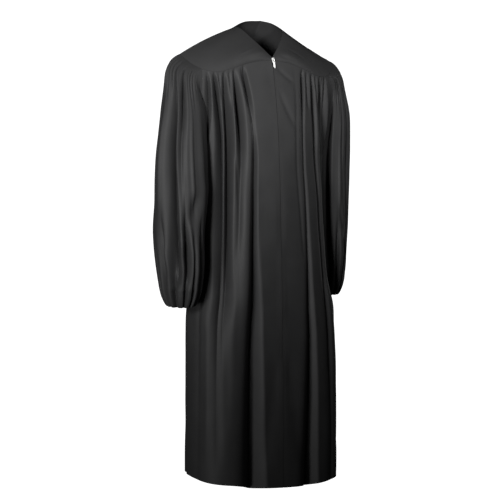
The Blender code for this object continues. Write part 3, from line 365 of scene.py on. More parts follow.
LEFT_FRONT_CREASES = (
    Crease(0.008, 0.118, 0.048, 0.160, 0.002, 0.005, 0.0018),
    Crease(0.008, 0.178, 0.052, 0.290, 0.004, 0.006, 0.0020),
    Crease(0.050, 0.110, 0.062, 0.700, 0.002, 0.004, 0.0018),
    Crease(0.012, 0.880, 0.046, 1.270, 0.006, 0.014, 0.0028),
    Crease(0.150, 0.620, 0.158, 1.180, 0.006, 0.013, -0.0022),
    Crease(0.205, 0.560, 0.200, 1.100, -0.006, 0.012, 0.0024),
)
BACK_CREASES = (
    Crease(-0.190, 0.330, -0.170, 0.780, 0.008, 0.010, 0.0024),
    Crease(-0.060, 0.240, -0.075, 0.620, 0.005, 0.008, 0.0020),
    Crease(0.070, 0.260, 0.060, 0.560, -0.004, 0.008, -0.0020),
    Crease(0.120, 0.520, 0.150, 1.120, 0.010, 0.013, 0.0026),
    Crease(-0.130, 0.760, -0.110, 1.250, -0.008, 0.014, -0.0026),
    Crease(0.210, 0.420, 0.225, 1.050, 0.006, 0.010, 0.0022),
)
YOKE_CREASES = {
    "right": (
        Crease(0.050, 0.010, 0.105, 0.075, 0.004, 0.009, 0.0012),
        Crease(0.120, 0.010, 0.150, 0.080, 0.003, 0.008, -0.0010),
    ),
    "left": (
        Crease(0.040, 0.012, 0.110, 0.070, 0.004, 0.010, 0.0014),
        Crease(0.130, 0.020, 0.170, 0.085, -0.003, 0.009, 0.0010),
    ),
    "back": (
        Crease(0.030, 0.040, 0.120, 0.110, 0.006, 0.014, 0.0012),
    ),
}
RIGHT_SLEEVE_CREASES = (
    Crease(0.176, 0.130, 0.172, 0.560, 0.000, 0.046, -0.0210),
    Crease(0.128, 0.455, 0.084, 0.580, 0.003, 0.016, 0.0080),
    Crease(0.112, 0.470, 0.104, 0.620, -0.002, 0.012, 0.0050),
    Crease(0.016, 0.200, 0.018, 0.560, 0.002, 0.014, -0.0040),
    Crease(0.022, 0.590, 0.050, 0.700, 0.003, 0.009, -0.0040),
    Crease(0.088, 0.590, 0.060, 0.710, 0.004, 0.010, 0.0050),
    Crease(0.200, 0.300, 0.230, 0.520, 0.010, 0.014, 0.0040),
    Crease(0.290, 0.400, 0.260, 0.620, 0.008, 0.014, 0.0045),
    Crease(0.350, 0.250, 0.365, 0.560, -0.006, 0.012, 0.0035),
)
LEFT_SLEEVE_CREASES = (
    Crease(0.110, 0.120, 0.100, 0.420, 0.004, 0.007, 0.0030),
    Crease(0.070, 0.300, 0.085, 0.560, -0.004, 0.009, 0.0035),
    Crease(0.120, 0.480, 0.070, 0.680, 0.006, 0.010, 0.0040),
    Crease(0.030, 0.450, 0.055, 0.690, 0.004, 0.010, 0.0035),
    Crease(0.210, 0.320, 0.240, 0.600, 0.008, 0.012, 0.0040),
    Crease(0.300, 0.380, 0.270, 0.640, 0.008, 0.012, 0.0045),
)

# Stitches, in metres, and the share of a stitch's length to either side of its middle where it is thickest
STITCH_PITCH = 0.0032
STITCH_LENGTH = 0.0026
STITCH_HALF_WIDTH = 0.00022
STITCH_RISE = 0.00016
STITCH_THICK_SHARE = 0.3
# How far each row of stitches lies from the edge that it follows
ZIP_STITCH_INSET = 0.0075
HEM_STITCH_INSET = 0.020
NECK_STITCH_INSET = 0.005
SEAM_STITCH_INSET = 0.0022

# Zip teeth, behind the slit, between the fronts' inner face and the tapes. They are set a little to the two
# sides by turns, start below the slider and end just above the hem.
TOOTH_PITCH = 0.0014
TOOTH_SIZE = (0.0026, 0.0006, 0.0013)
TOOTH_SHIFT = 0.0006
TOOTH_INSET = 0.00145
TEETH_TOP = -0.112
TEETH_FOOT_RAISE = 0.0005

# Finishes: threads in a metre of the cloth, the tapes and the sewing thread, and how dull the last two are
CLOTH_THREADS = 1600.0
TAPE_THREADS = 1100.0
SEWING_THREADS = 3000.0
TAPE_ROUGHNESS = 0.75
SEWING_ROUGHNESS = 0.6
SHEEN_ROUGHNESS = 0.5
# The metal's roughness, from its worn places to the rest
METAL_ROUGHNESS = (0.18, 0.42)
# Noise, by its scale for each metre and its detail: the cloth's fuzz, its slow changes of tone, and wear
FUZZ = (900, 2)
TONE = (22, 3)
WEAR = (600, 2)

# Stage: the photograph's camera, and soft lights by name: the place, aim, size, beam in degrees and power
# of each. The first one's beam ends above the hem, so the robe darkens towards its foot. The last one lights
# the back, which the photograph doesn't show.
CAMERA_PLACE = (-1.450, -2.5115, -0.360)
CAMERA_TURN = math.radians(30.0)
CAMERA_PITCH = math.radians(3.409)
CAMERA_LENS = 73.43
CAMERA_SENSOR = 36.0
CAMERA_NEAR = 0.05
CAMERA_SHIFT = (-0.0169, -0.0697)
Lamp = namedtuple("Lamp", "name place aim size spread power")
LAMPS = (
    Lamp("key_light", (-1.75, -1.50, -0.05), (0.0, 0.0, -0.22), (0.5, 0.5), 44.0, 3.9),
    Lamp("front_light", (0.70, -2.20, 0.30), (0.06, 0.0, 0.02), (0.6, 0.6), 32.0, 1.15),
    Lamp("side_light", (-2.25, -1.20, -0.95), (0.0, 0.0, -1.05), (0.5, 0.8), 40.0, 1.2),
    Lamp("far_light", (2.30, 0.60, -0.40), (0.0, 0.0, -0.50), (0.4, 2.0), 120.0, 1.8),
    Lamp("back_light", (1.20, 2.60, 0.10), (0.0, 0.0, -0.55), (0.8, 0.8), 60.0, 9.0),
)


def through(knots, values, at):
    """A smooth curve through the values at the knots: cubic pieces that share their slopes."""
    knots = np.asarray(knots, float)
    values = np.asarray(values, float)
    at = np.clip(np.asarray(at, float), knots[0], knots[-1])
    slopes = np.gradient(values, knots)
    piece = np.clip(np.searchsorted(knots, at) - 1, 0, len(knots) - 2)
    step = knots[piece + 1] - knots[piece]
    t = (at - knots[piece]) / step
    rise = 3 * t**2 - 2 * t**3
    start = (t**3 - 2 * t**2 + t) * step * slopes[piece]
    end = (t**3 - t**2) * step * slopes[piece + 1]
    return (1 - rise) * values[piece] + rise * values[piece + 1] + start + end


def read(rows, column, height):
    """One named column of a table of heights, which run downwards, read at a height."""
    heights = [row.height for row in reversed(rows)]
    values = [getattr(row, column) for row in reversed(rows)]
    return through(heights, values, height)


def unit(vectors):
    """The same directions, each with a length of one."""
    return vectors / np.linalg.norm(vectors, axis=-1, keepdims=True)


def finer(values, times):
    """The same values with more evenly placed ones between each two, times as many steps in all."""
    values = np.asarray(values, float)
    index = np.linspace(0, len(values) - 1, (len(values) - 1) * times + 1)
    return np.interp(index, np.arange(len(values)), values)


def body(turn, height):
    """Points and outward normals of the torso and skirt, at a turn in radians from the centre front.

    Each level is an ellipse, x = width sin(turn) and y = -depth cos(turn), whose front half is filled out by
    a share of sin and cos of three times the turn.
    """
    turn, height = np.broadcast_arrays(np.asarray(turn, float), np.asarray(height, float))
    square = read(BODY, "square", height) * (np.cos(turn) > 0)
    width = read(BODY, "half_width", height) / (1 - square)
    front = read(BODY, "front", height) / (1 - square)
    back = read(BODY, "back", height) / (1 - square)
    depth = np.where(np.cos(turn) > 0, front, back)
    x = width * (np.sin(turn) + square * np.sin(3 * turn))
    y = -depth * (np.cos(turn) - square * np.cos(3 * turn))
    along_x = width * (np.cos(turn) + 3 * square * np.cos(3 * turn))
    along_y = depth * (np.sin(turn) - 3 * square * np.sin(3 * turn))
    normals = unit(np.stack([along_y, -along_x, np.zeros_like(x)], -1))
    return np.stack([x, y, height], -1), normals


def armhole_turn(height):
    """Turn from the centre at which the body crosses the armhole's upright plane."""
    armhole_x = read(BODY, "half_width", UNDERARM)
    return np.arcsin(np.clip(armhole_x / read(BODY, "half_width", height), -1, 1))


def corner_turn(is_back):
    """Turn from the centre, in radians, of the corner where the yoke seam meets the armhole."""
    return float(armhole_turn(BACK_CORNER_HEIGHT if is_back else FRONT_CORNER_HEIGHT))


def seam_height(turn, is_back):
    """Height of the yoke seam at a turn from the centre, in radians."""
    rows = BACK_SEAM if is_back else FRONT_SEAM
    corner = BACK_CORNER_HEIGHT if is_back else FRONT_CORNER_HEIGHT
    turns = [math.radians(row.turn) for row in rows] + [corner_turn(is_back)]
    heights = [row.height for row in rows] + [corner]
    return through(turns, heights, np.abs(turn))


def with_shorts(folds):
    """The long folds, with the short gathers that lie between them, as uneven as a gathering thread leaves
    them: every second one is a little deeper.
    """
    every = []
    for fold, following in zip(folds, folds[1:] + (None,)):
        every.append(fold)
        for number in range(fold.shorts):
            share = (number + 1) / (fold.shorts + 1)
            places = [a + (b - a) * share for a, b in zip(fold[:3], following[:3])]
            depth = SHORT_GATHER_DEPTH * SHORT_SHARES[number % 2]
            every.append(Fold(*places, SHORT_SPREAD, SHORT_SPREAD, 0.0, depth, -depth, 0, 0, 0, 0))
    return every


def hanging_turn(first, last, share, height, top_height, foot_height):
    """Turn, at a height, of a line that hangs straight, as seen from the front, from one turn to another.

    Its distance to the side passes evenly from the one at the top to the one at the foot, by the share.
    """
    x_top = math.sin(math.radians(first)) * read(BODY, "half_width", top_height)
    x_foot = math.sin(math.radians(last)) * read(BODY, "half_width", foot_height)
    x = x_top + (x_foot - x_top) * share
    return np.degrees(np.arcsin(np.clip(x / read(BODY, "half_width", height), -1, 1)))


def column_turn(top, mid, foot, level, is_back):
    """Turn of a line down the panel, which hangs straight as seen from the front and leans early in the
    chest.

    Towards the side that gives way to the armhole's own line above the underarm, and to the side seam below.
    """
    corner = BACK_CORNER_HEIGHT if is_back else FRONT_CORNER_HEIGHT
    edge_top = math.degrees(corner_turn(is_back))
    level = np.asarray(level, float)
    chest = np.clip(level, 0, 1)
    skirt = np.clip(level - 1, 0, 1)
    nearness = (abs(mid) / SIDE_TURN) ** EDGE_FOLLOWING
    chest_height = corner + (UNDERARM - corner) * chest
    early = 1 - (1 - chest) ** 2
    straight = hanging_turn(top, mid, early, chest_height, corner, UNDERARM)
    edge = np.degrees(armhole_turn(chest_height))
    by_edge = top + (mid - top) * (edge - edge_top) / (SIDE_TURN - edge_top)
    above = straight + (by_edge - straight) * nearness * (1 - chest**EDGE_RELEASE)
    skirt_height = UNDERARM + (HEM - UNDERARM) * skirt
    straight = hanging_turn(mid, foot, skirt, skirt_height, UNDERARM, HEM)
    plain = mid + (foot - mid) * skirt**2 * (3 - 2 * skirt)
    below = straight + (plain - straight) * (abs(mid) / SIDE_TURN) ** SIDE_HOLD
    return np.where(level <= 1, above, below)


def fold_section(offset, lean):
    """A fold's depth as a share, at a share of the way from its middle to its edge: two rounded ridges that
    meet in a narrow valley, moved to one side by the lean. It is one less the distance, to a power.
    """
    offset = np.clip(offset, -1, 1)
    offset = offset + lean * (1 - offset**2)
    return np.clip(1 - np.sqrt(offset**2 + VALLEY_SOFTNESS**2), 0, 1) ** VALLEY_POWER


def fold_depth(folds, turn, level, is_back):
    """Inward depth of all the folds at a turn in degrees."""
    total = np.zeros(np.broadcast(turn, level).shape)
    for fold in folds:
        place = column_turn(fold.top, fold.mid, fold.foot, level, is_back)
        halfway = (GATHER_SPREAD + fold.spread_mid) / 2
        spread = through(SPREAD_LEVELS, (GATHER_SPREAD, halfway, fold.spread_mid, fold.spread_foot), level)
        depths = (0, fold.gather, fold.chest, fold.waist, fold.thigh, fold.hem)
        depth = np.maximum(through(DEPTH_LEVELS, depths, level), 0)
        total = total + depth * fold_section((turn - place) / spread, fold.lean)
    return total


def crease_depth(creases, across, down):
    """Inward depth of the listed creases, in metres: a soft trough of a bell's section along each crease's
    line, which fades out at both its ends. A negative depth is a ridge.
    """
    total = np.zeros(across.shape)
    for crease in creases:
        start = np.array((crease.across_start, crease.down_start))
        run = np.array((crease.across_end, crease.down_end)) - start
        length = np.hypot(*run)
        share = ((across - start[0]) * run[0] + (down - start[1]) * run[1]) / length**2
        aside = ((across - start[0]) * run[1] - (down - start[1]) * run[0]) / length
        aside = aside + crease.bow * 4 * share * (1 - share)
        fade = np.clip(np.minimum(share, 1 - share) * CREASE_GROWTH + CREASE_START, 0, 1)
        fade = fade**2 * (3 - 2 * fade)
        total = total + crease.depth * fade * np.exp(-((aside / crease.width) ** 2))
    return total


def slack(across, down, size):
    """The cloth's slow unevenness, in metres: a sum of waves of a few lengths and directions."""
    total = np.zeros(np.broadcast(across, down).shape)
    for wave in SLACK:
        total = total + wave.strength * np.sin(across * wave.across + down * wave.down + wave.start)
    return size * total


def panel_heights(turn_at_top, level, is_back, x_at_hem, depth):
    """Height of a row: it follows the yoke seam at the top, is level at the underarm, and meets the hem."""
    top = seam_height(turn_at_top, is_back)
    chest = np.clip(level, 0, 1)
    skirt = np.clip(level - 1, 0, 1)
    rise = through(*zip(*HEM_LINE), x_at_hem)
    foot = HEM + rise - HEM_SAG * depth
    return top + (UNDERARM - top) * chest + (foot - UNDERARM) * skirt


def from_front(turns, is_back):
    """Turns in radians from the centre front, for turns in degrees from the front's or the back's centre."""
    return np.radians(180.0 - np.asarray(turns)) if is_back else np.radians(turns)


def panel_points(tops, mids, feet, levels, folds, creases, is_back, side):
    """A front's or the back's outer face: lines down it by levels, with folds and creases pressed in."""
    level = np.asarray(levels, float)[:, None]
    turns = np.stack([column_turn(*line, levels, is_back) for line in zip(tops, mids, feet)], -1)
    depth = fold_depth(folds, turns, level, is_back)
    foot_points, _ = body(from_front(feet, is_back), HEM)
    x_at_hem = foot_points[:, 0] * (-1 if side == "right" else 1)
    heights = panel_heights(np.radians(tops), level, is_back, x_at_hem, depth)
    points, normals = body(from_front(turns, is_back), heights)
    across = turns * METRES_PER_DEGREE
    edge = np.clip(level / SEAM_FADE, 0, 1) * np.clip((2 - level) / SEAM_FADE, 0, 1)
    side_fade = np.clip((SIDE_TURN - np.abs(turns)) / SIDE_FADE, 0, 1)
    if not is_back:
        side_fade = side_fade * np.clip(turns / ZIP_FADE, 0, 1)
    small = crease_depth(creases, across, -heights) + slack(across, -heights, SLACK_DEPTH)
    depth = depth + small * edge * side_fade
    return points - normals * depth[..., None], normals


def panel_lines(folds, start, end):
    """Lines down a panel: one in each fold and one on each ridge between, from edge to edge, and finer."""
    lines = [start]
    by_zip = start[0] == 0.0
    if by_zip:
        first = folds[0]
        ridge = np.array((first.top - GATHER_SPREAD, first.mid - first.spread_mid,
                          first.foot - first.spread_foot))
        lines.extend([tuple(ridge / 3), tuple(ridge * 2 / 3), tuple(ridge)])
    else:
        lines.append(tuple((a + b) / 2 for a, b in zip(start, folds[0][:3])))
    for fold, following in zip(folds, folds[1:]):
        lines.append(fold[:3])
        lines.append(tuple((a + b) / 2 for a, b in zip(fold[:3], following[:3])))
    lines.append(folds[-1][:3])
    lines.append(tuple((a + b) / 2 for a, b in zip(folds[-1][:3], end)))
    lines.append(end)
    steps = FRONT_STEPS if by_zip else BACK_STEPS
    return [finer(column, steps) for column in zip(*lines)]


def grid_normals(points, closed_around=False):
    """Outward normals of a grid, rows down and columns anticlockwise: at each point, the direction of the
    sum of the normals of the faces round it.
    """
    if closed_around:
        points = np.concatenate([points, points[:, :1]], 1)
    diagonal = points[1:, 1:] - points[:-1, :-1]
    other = points[1:, :-1] - points[:-1, 1:]
    faces = unit(np.cross(other, diagonal))
    rows, columns = points.shape[:2]
    here = slice(0, -1)
    after = slice(1, None)
    total = np.zeros((rows, columns, 3))
    for corner in ((here, here), (after, here), (here, after), (after, after)):
        total[corner] += faces
    if closed_around:
        total[:, 0] += total[:, -1]
        return unit(total)[:, :-1]
    return unit(total)


def along_table(rows, shares):
    """Points of a curve whose table gives x, y and z at shares of its length."""
    knots = [row.share for row in rows]
    return np.stack([through(knots, [getattr(row, axis) for row in rows], shares) for axis in "xyz"], -1)


def yoke_end(corner, is_back, side):
    """The yoke's end: from the corner of the armhole up to the tip of the shoulder, slightly bowed."""
    share = np.linspace(0, 1, END_COLUMNS + 1)[1:, None]
    bow = np.array(END_BOW) * np.array((1, 1 if is_back else -1, 1))
    return corner + (np.array(SHOULDER_TIP[side]) - corner) * share + bow * (4 * share * (1 - share))


def yoke_side(turns_at_top, is_back, side):
    """One side of a yoke, from the centre to the tip of the shoulder and from the neckline to its edge.

    Rows run straight from the neckline to the edge and swell out between them as a parabola.
    """
    turns = np.radians(turns_at_top)
    across, _ = body(math.pi - turns if is_back else turns, seam_height(turns, is_back))
    edge = np.concatenate([across, yoke_end(across[-1], is_back, side)])
    steps = np.linalg.norm(np.diff(edge, axis=0), axis=1)
    shares = np.concatenate([[0], np.cumsum(steps)]) / steps.sum()
    neck = along_table(NECK_BACK, 1 - shares) if is_back else along_table(NECK_FRONT, shares)
    if is_back:
        neck[:, 0] += NECK_LEAN * (1 - shares) * (1 if side == "left" else -1)
    down = np.linspace(0, 1, YOKE_STEPS + 1)[:, None, None]
    chord = unit(edge - neck)
    outward = unit(np.cross(chord, np.gradient(edge, axis=0)))
    shoulder = SHOULDER_SWELL[side]
    if is_back:
        outward = -outward
        swell = shoulder + (YOKE_SWELL_BACK - shoulder) * np.cos(shares * math.pi / 2)
    else:
        swell = shoulder * shares**2 + YOKE_SWELL_FRONT * np.sin(math.pi * shares)
    outward[-1] = unit(np.cross(chord[-1], (0.0, 1.0, 0.0)))
    creases = YOKE_CREASES["back" if is_back else side]
    lengths = np.linalg.norm(edge - neck, axis=1)
    across_metres = np.broadcast_to(shares * steps.sum(), (YOKE_STEPS + 1, len(shares)))
    down_metres = down[..., 0] * lengths
    small = crease_depth(creases, across_metres, down_metres)
    small = small + slack(across_metres, down_metres, YOKE_SLACK)
    calm = np.clip(1 - shares, 0, YOKE_CALM) / YOKE_CALM * np.clip(shares / YOKE_CALM, 0, 1)
    rise = swell[:, None] * 4 * down * (1 - down)
    press = (small * calm * np.sin(math.pi * down[..., 0]))[..., None]
    return neck * (1 - down) + edge * down + outward * (rise - press)


def mirrored(points):
    """The same points on the wearer's other side."""
    return points * np.array((-1.0, 1.0, 1.0))


def filled_in(line):
    """A line of points with one more point midway between each two."""
    full = np.empty((2 * len(line) - 1, 3))
    full[0::2] = line
    full[1::2] = (line[:-1] + line[1:]) / 2
    return full


def below_seam(edge, normals):
    """Direction in the cloth that leads away from a yoke, at each point of its edge."""
    return unit(np.cross(np.gradient(edge, axis=0), normals))


def panel(folds, creases, start, end, is_back, side, seam, seam_normals):
    """A front or the back: its outer points and normals, hung from the yoke's seam."""
    tops, mids, feet = panel_lines(folds, start, end)
    chest = finer(CHEST_ROWS, DOWN_STEPS)
    skirt = 1 + finer((0.0,) + SKIRT_ROWS, SKIRT_STEPS)[1:]
    levels = np.concatenate([chest, skirt])
    points, base = panel_points(tops, mids, feet, levels, folds, creases, is_back, side)
    if is_back:
        points = points[:, ::-1]
        base = base[:, ::-1]
    points[0] = filled_in(seam) + SEAM_GAP * filled_in(below_seam(seam, seam_normals))
    normals = grid_normals(points)
    normals[0] = filled_in(seam_normals)
    for column in (0, -1):
        normals[1:, column] = base[1:, column]
    return points, normals


def sleeve_depth(folds, place, level):
    """Inward depth of a sleeve's folds, at a place round it and a level from head, 0, to wrist, 1."""
    total = np.zeros(np.broadcast(place, level).shape)
    for fold in folds:
        depths = (0, fold.depth_head, fold.depth_upper, fold.depth_elbow, fold.depth_forearm, 0)
        depth = np.maximum(through(SLEEVE_DEPTH_LEVELS, depths, level), 0)
        centre = fold.head + (fold.wrist - fold.head) * level
        total = total + depth * fold_section(((place - centre + 0.5) % 1 - 0.5) / fold.spread, fold.lean)
    return total


def gathered(place, count):
    """Depth of a count of gathers round a sleeve, about from 0 to 1: the square of a wave for each gather,
    which strays from its even place, times an uneven share that is itself the product of two waves.
    """
    stray = STRAY * np.sin(2 * math.pi * place * STRAY_WAVES)
    wave = (1 - np.cos(2 * math.pi * (place + stray) * count)) / 2
    quick = np.sin(2 * math.pi * place * QUICK_WAVES + QUICK_START)
    slow = np.cos(2 * math.pi * place * SLOW_WAVES)
    return wave**2 * (1 + UNEVEN_GATHERS * quick * slow)


def gather_waves(level, place):
    """Depth of the gathers, on the head where it meets the yoke and at the wrist."""
    from_tip = np.abs((place + 0.5) % 1 - 0.5)
    by_yoke = from_tip < HEAD_COLUMNS / AROUND
    at_head = through(*zip(*HEAD_WAVES), level)
    at_wrist = through(*zip(*WRIST_WAVES), level)
    head = HEAD_GATHER_DEPTH * at_head * by_yoke * gathered(place, HEAD_GATHERS)
    return head + WRIST_GATHER_DEPTH * at_wrist * gathered(place, WRIST_GATHERS)


def sleeve(armhole, tube, folds, creases):
    """A sleeve's outer points: rings from the armhole's line to the tube's foot, then the wrist's rings.

    The lines run from the tip of the shoulder round by the front. A ring is an ellipse, drawn in by folds,
    gathers and creases, and near the head it passes over into the armhole's own line.
    """
    place = np.arange(AROUND) / AROUND
    angle = 2 * math.pi * place
    level = finer((0.0,) + SLEEVE_ROWS, SLEEVE_STEPS)[:, None]
    foot = tube[-1].height
    height = armhole[:, 2] + (foot - armhole[:, 2]) * level
    drop = armhole[:, 2] - height
    blend_across = 1 - np.exp(-drop / HEAD_BLEND)
    blend_depth = 1 - np.exp(-drop / HEAD_BLEND_DEPTH)
    around = place * SLEEVE_GIRTH
    ends = np.clip(level / SEAM_FADE, 0, 1) * np.clip((1 - level) / SEAM_FADE, 0, 1)
    turns_away = (-SLEEVE_GIRTH, 0, SLEEVE_GIRTH)
    small = sum(crease_depth(creases, around + shift, -height) for shift in turns_away)
    small = small + slack(np.sin(angle) * SLEEVE_GIRTH / 4, -height, SLACK_DEPTH)
    inward = sleeve_depth(folds, place, level) + gather_waves(level, place) + small * ends
    half_width = read(tube, "half_width", height) - inward
    half_depth = read(tube, "half_depth", height) - inward
    ring_x = read(tube, "centre_x", height) + half_width * np.cos(angle)
    ring_y = read(tube, "centre_y", height) - half_depth * np.sin(angle)
    x = armhole[:, 0] + (ring_x - armhole[:, 0]) * blend_across
    y = armhole[:, 1] + (ring_y - armhole[:, 1]) * blend_depth
    last = tube[-1]
    step = np.linspace(0, len(WRIST), len(WRIST) * WRIST_STEPS + 1)[1:, None]
    drops = through(range(len(WRIST) + 1), [0.0] + [ring.drop for ring in WRIST], step)
    scales = through(range(len(WRIST) + 1), [1.0] + [ring.scale for ring in WRIST], step)
    waved = scales * (1 - gathered(place, WRIST_GATHERS) * WRIST_GATHER_DEPTH / last.half_width)
    wrist = np.stack([last.centre_x + last.half_width * waved * np.cos(angle),
                      last.centre_y - last.half_depth * waved * np.sin(angle),
                      np.broadcast_to(foot - drops, waved.shape)], -1)
    return np.concatenate([np.stack([x, y, height], -1), wrist])


def armhole_line(front_end, front_side, back_side, back_end):
    """The sleeve's top line: shoulder tip, front corner, underarm, back corner and back to the tip."""
    front_head = filled_in(front_end[::-1])
    back_head = filled_in(back_end)
    return np.concatenate([front_head[:-1], front_side[:-1], back_side[::-1][:-1], back_head[:-1]])


def cloth_uv(points):
    """Place in the cloth, in metres: the length across from the middle and down from the first row."""
    across = np.linalg.norm(np.diff(points, axis=1), axis=-1)
    down = np.linalg.norm(np.diff(points, axis=0), axis=-1)
    u = np.concatenate([np.zeros((len(points), 1)), np.cumsum(across, 1)], 1)
    v = np.concatenate([np.zeros((1, points.shape[1])), np.cumsum(down, 0)], 0)
    u = u - u[:, -1:] / 2
    return np.stack([u * OWN_LENGTH_SHARE + u.mean(0) * (1 - OWN_LENGTH_SHARE), -v], -1)


def add_mesh(name, vertices, faces, finish, uv=None):
    """One mesh object from arrays of points and faces, with its own place in the cloth as its UV map."""
    mesh = bpy.data.meshes.new(name)
    mesh.from_pydata(vertices.tolist(), [], faces.tolist())
    mesh.shade_smooth()
    mesh.set_sharp_from_angle(angle=SHARP_ANGLE)
    if uv is not None:
        layer = mesh.uv_layers.new(name="cloth")
        corner = np.empty(len(mesh.loops), np.int32)
        mesh.loops.foreach_get("vertex_index", corner)
        layer.data.foreach_set("uv", uv[corner].astype(np.float32).ravel())
    mesh.materials.append(finish)
    made = bpy.data.objects.new(name, mesh)
    bpy.context.collection.objects.link(made)
    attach(made, "root")
    return made


def cloth_wall(name, outer, normals, thick, finish, closed_around=False):
    """A closed wall between a grid of outer points and the same grid one thickness inside."""
    inner = outer - normals * thick
    rows, columns = outer.shape[:2]
    ring = np.concatenate([outer, outer[:, :1]], 1) if closed_around else outer
    uv = cloth_uv(ring)[:, :columns]
    number = np.arange(rows * columns).reshape(rows, columns)
    under = number + rows * columns
    if closed_around:
        number = np.concatenate([number, number[:, :1]], 1)
        under = np.concatenate([under, under[:, :1]], 1)

    def strip(first, second):
        """Faces between two lines of points, each given by the points' numbers."""
        return np.stack([first[:-1], second[:-1], second[1:], first[1:]], -1).reshape(-1, 4)

    faces = [
        np.stack([number[:-1, :-1], number[1:, :-1], number[1:, 1:], number[:-1, 1:]], -1).reshape(-1, 4),
        np.stack([under[:-1, :-1], under[:-1, 1:], under[1:, 1:], under[1:, :-1]], -1).reshape(-1, 4),
        strip(under[0], number[0]),
        strip(number[-1], under[-1]),
    ]
    if not closed_around:
        faces.append(strip(number[:, 0], under[:, 0]))
        faces.append(strip(under[:, -1], number[:, -1]))
    vertices = np.concatenate([outer.reshape(-1, 3), inner.reshape(-1, 3)])
    uv = np.tile(uv.reshape(-1, 2), (2, 1))
    return add_mesh(name, vertices, np.concatenate(faces), finish, uv)


def surface_line(points, normals, inset, from_foot=False):
    """Points and normals a set length in from a grid's first row, or its last one, along the columns."""
    if from_foot:
        points = points[::-1]
        normals = normals[::-1]
    lengths = np.concatenate([np.zeros((1, points.shape[1])),
                              np.cumsum(np.linalg.norm(np.diff(points, axis=0), axis=-1), 0)])
    row = np.clip((lengths < inset).sum(0), 1, len(points) - 1)
    column = np.arange(points.shape[1])
    before = lengths[row - 1, column]
    share = ((inset - before) / (lengths[row, column] - before))[:, None]
    line = points[row - 1, column] * (1 - share) + points[row, column] * share
    return line, normals[row, column]


def resampled(line, normals, pitch):
    """The line's points, normals and directions at an even pitch along it."""
    lengths = np.concatenate([[0], np.cumsum(np.linalg.norm(np.diff(line, axis=0), axis=-1))])
    at = np.arange(pitch / 2, lengths[-1], pitch)
    places = np.stack([np.interp(at, lengths, line[:, axis]) for axis in range(3)], -1)
    ahead = np.stack([np.interp(at + pitch / 4, lengths, line[:, axis]) for axis in range(3)], -1)
    facing = unit(np.stack([np.interp(at, lengths, normals[:, axis]) for axis in range(3)], -1))
    return places, facing, unit(ahead - places)


def add_stitches(name, lines, finish):
    """Rows of stitches as one mesh. Each stitch is a spindle: two rings of four points, and a point at each
    end that is sunk in the cloth.
    """
    places, facing, ahead = (np.concatenate(part) for part in zip(*(
        resampled(line, normals, STITCH_PITCH) for line, normals in lines)))
    aside = unit(np.cross(ahead, facing))
    ring = np.array(((1, 0), (0, 1), (-1, 0), (0, -1)), float) * (STITCH_HALF_WIDTH, STITCH_RISE)
    around = ring[:, 0, None] * aside[:, None] + ring[:, 1, None] * facing[:, None]
    thick = ahead[:, None] * STITCH_LENGTH * STITCH_THICK_SHARE
    half = ahead[:, None] * STITCH_LENGTH * 0.5
    sunk = facing[:, None] * STITCH_RISE
    middle = places[:, None]
    vertices = np.concatenate([middle - half - sunk, middle - thick + around, middle + thick + around,
                               middle + half - sunk], 1)
    here = np.arange(4)
    after = (here + 1) % 4
    start = 0 * here
    corners = ((start, 1 + after, 1 + here), (start + 9, 5 + here, 5 + after),
               (1 + here, 1 + after, 5 + after), (1 + here, 5 + after, 5 + here))
    faces = np.concatenate([np.stack(three, -1) for three in corners])
    every = (faces[None] + vertices.shape[1] * np.arange(len(places))[:, None, None]).reshape(-1, 3)
    made = add_mesh(name, vertices.reshape(-1, 3), every, finish)
    return made


def add_teeth(finish):
    """The closed zip's teeth: a small block for each, set to the two sides by turns."""
    foot = HEM + TEETH_FOOT_RAISE
    height = np.arange(TEETH_TOP, foot, -TOOTH_PITCH)
    side = np.where(np.arange(len(height)) % 2, 1.0, -1.0)
    depth = -read(BODY, "front", height) + TOOTH_INSET
    middle = np.stack([side * TOOTH_SHIFT, depth, height], -1)
    corner = np.array([(x, y, z) for z in (-1, 1) for y in (-1, 1) for x in (-1, 1)], float) / 2
    vertices = (middle[:, None] + corner * TOOTH_SIZE).reshape(-1, 3)
    block = np.array(((0, 2, 3, 1), (4, 5, 7, 6), (0, 1, 5, 4), (2, 6, 7, 3), (0, 4, 6, 2), (1, 3, 7, 5)))
    faces = (block[None] + 8 * np.arange(len(height))[:, None, None]).reshape(-1, 4)
    made = add_mesh("zip_teeth", vertices, faces, finish)
    return made


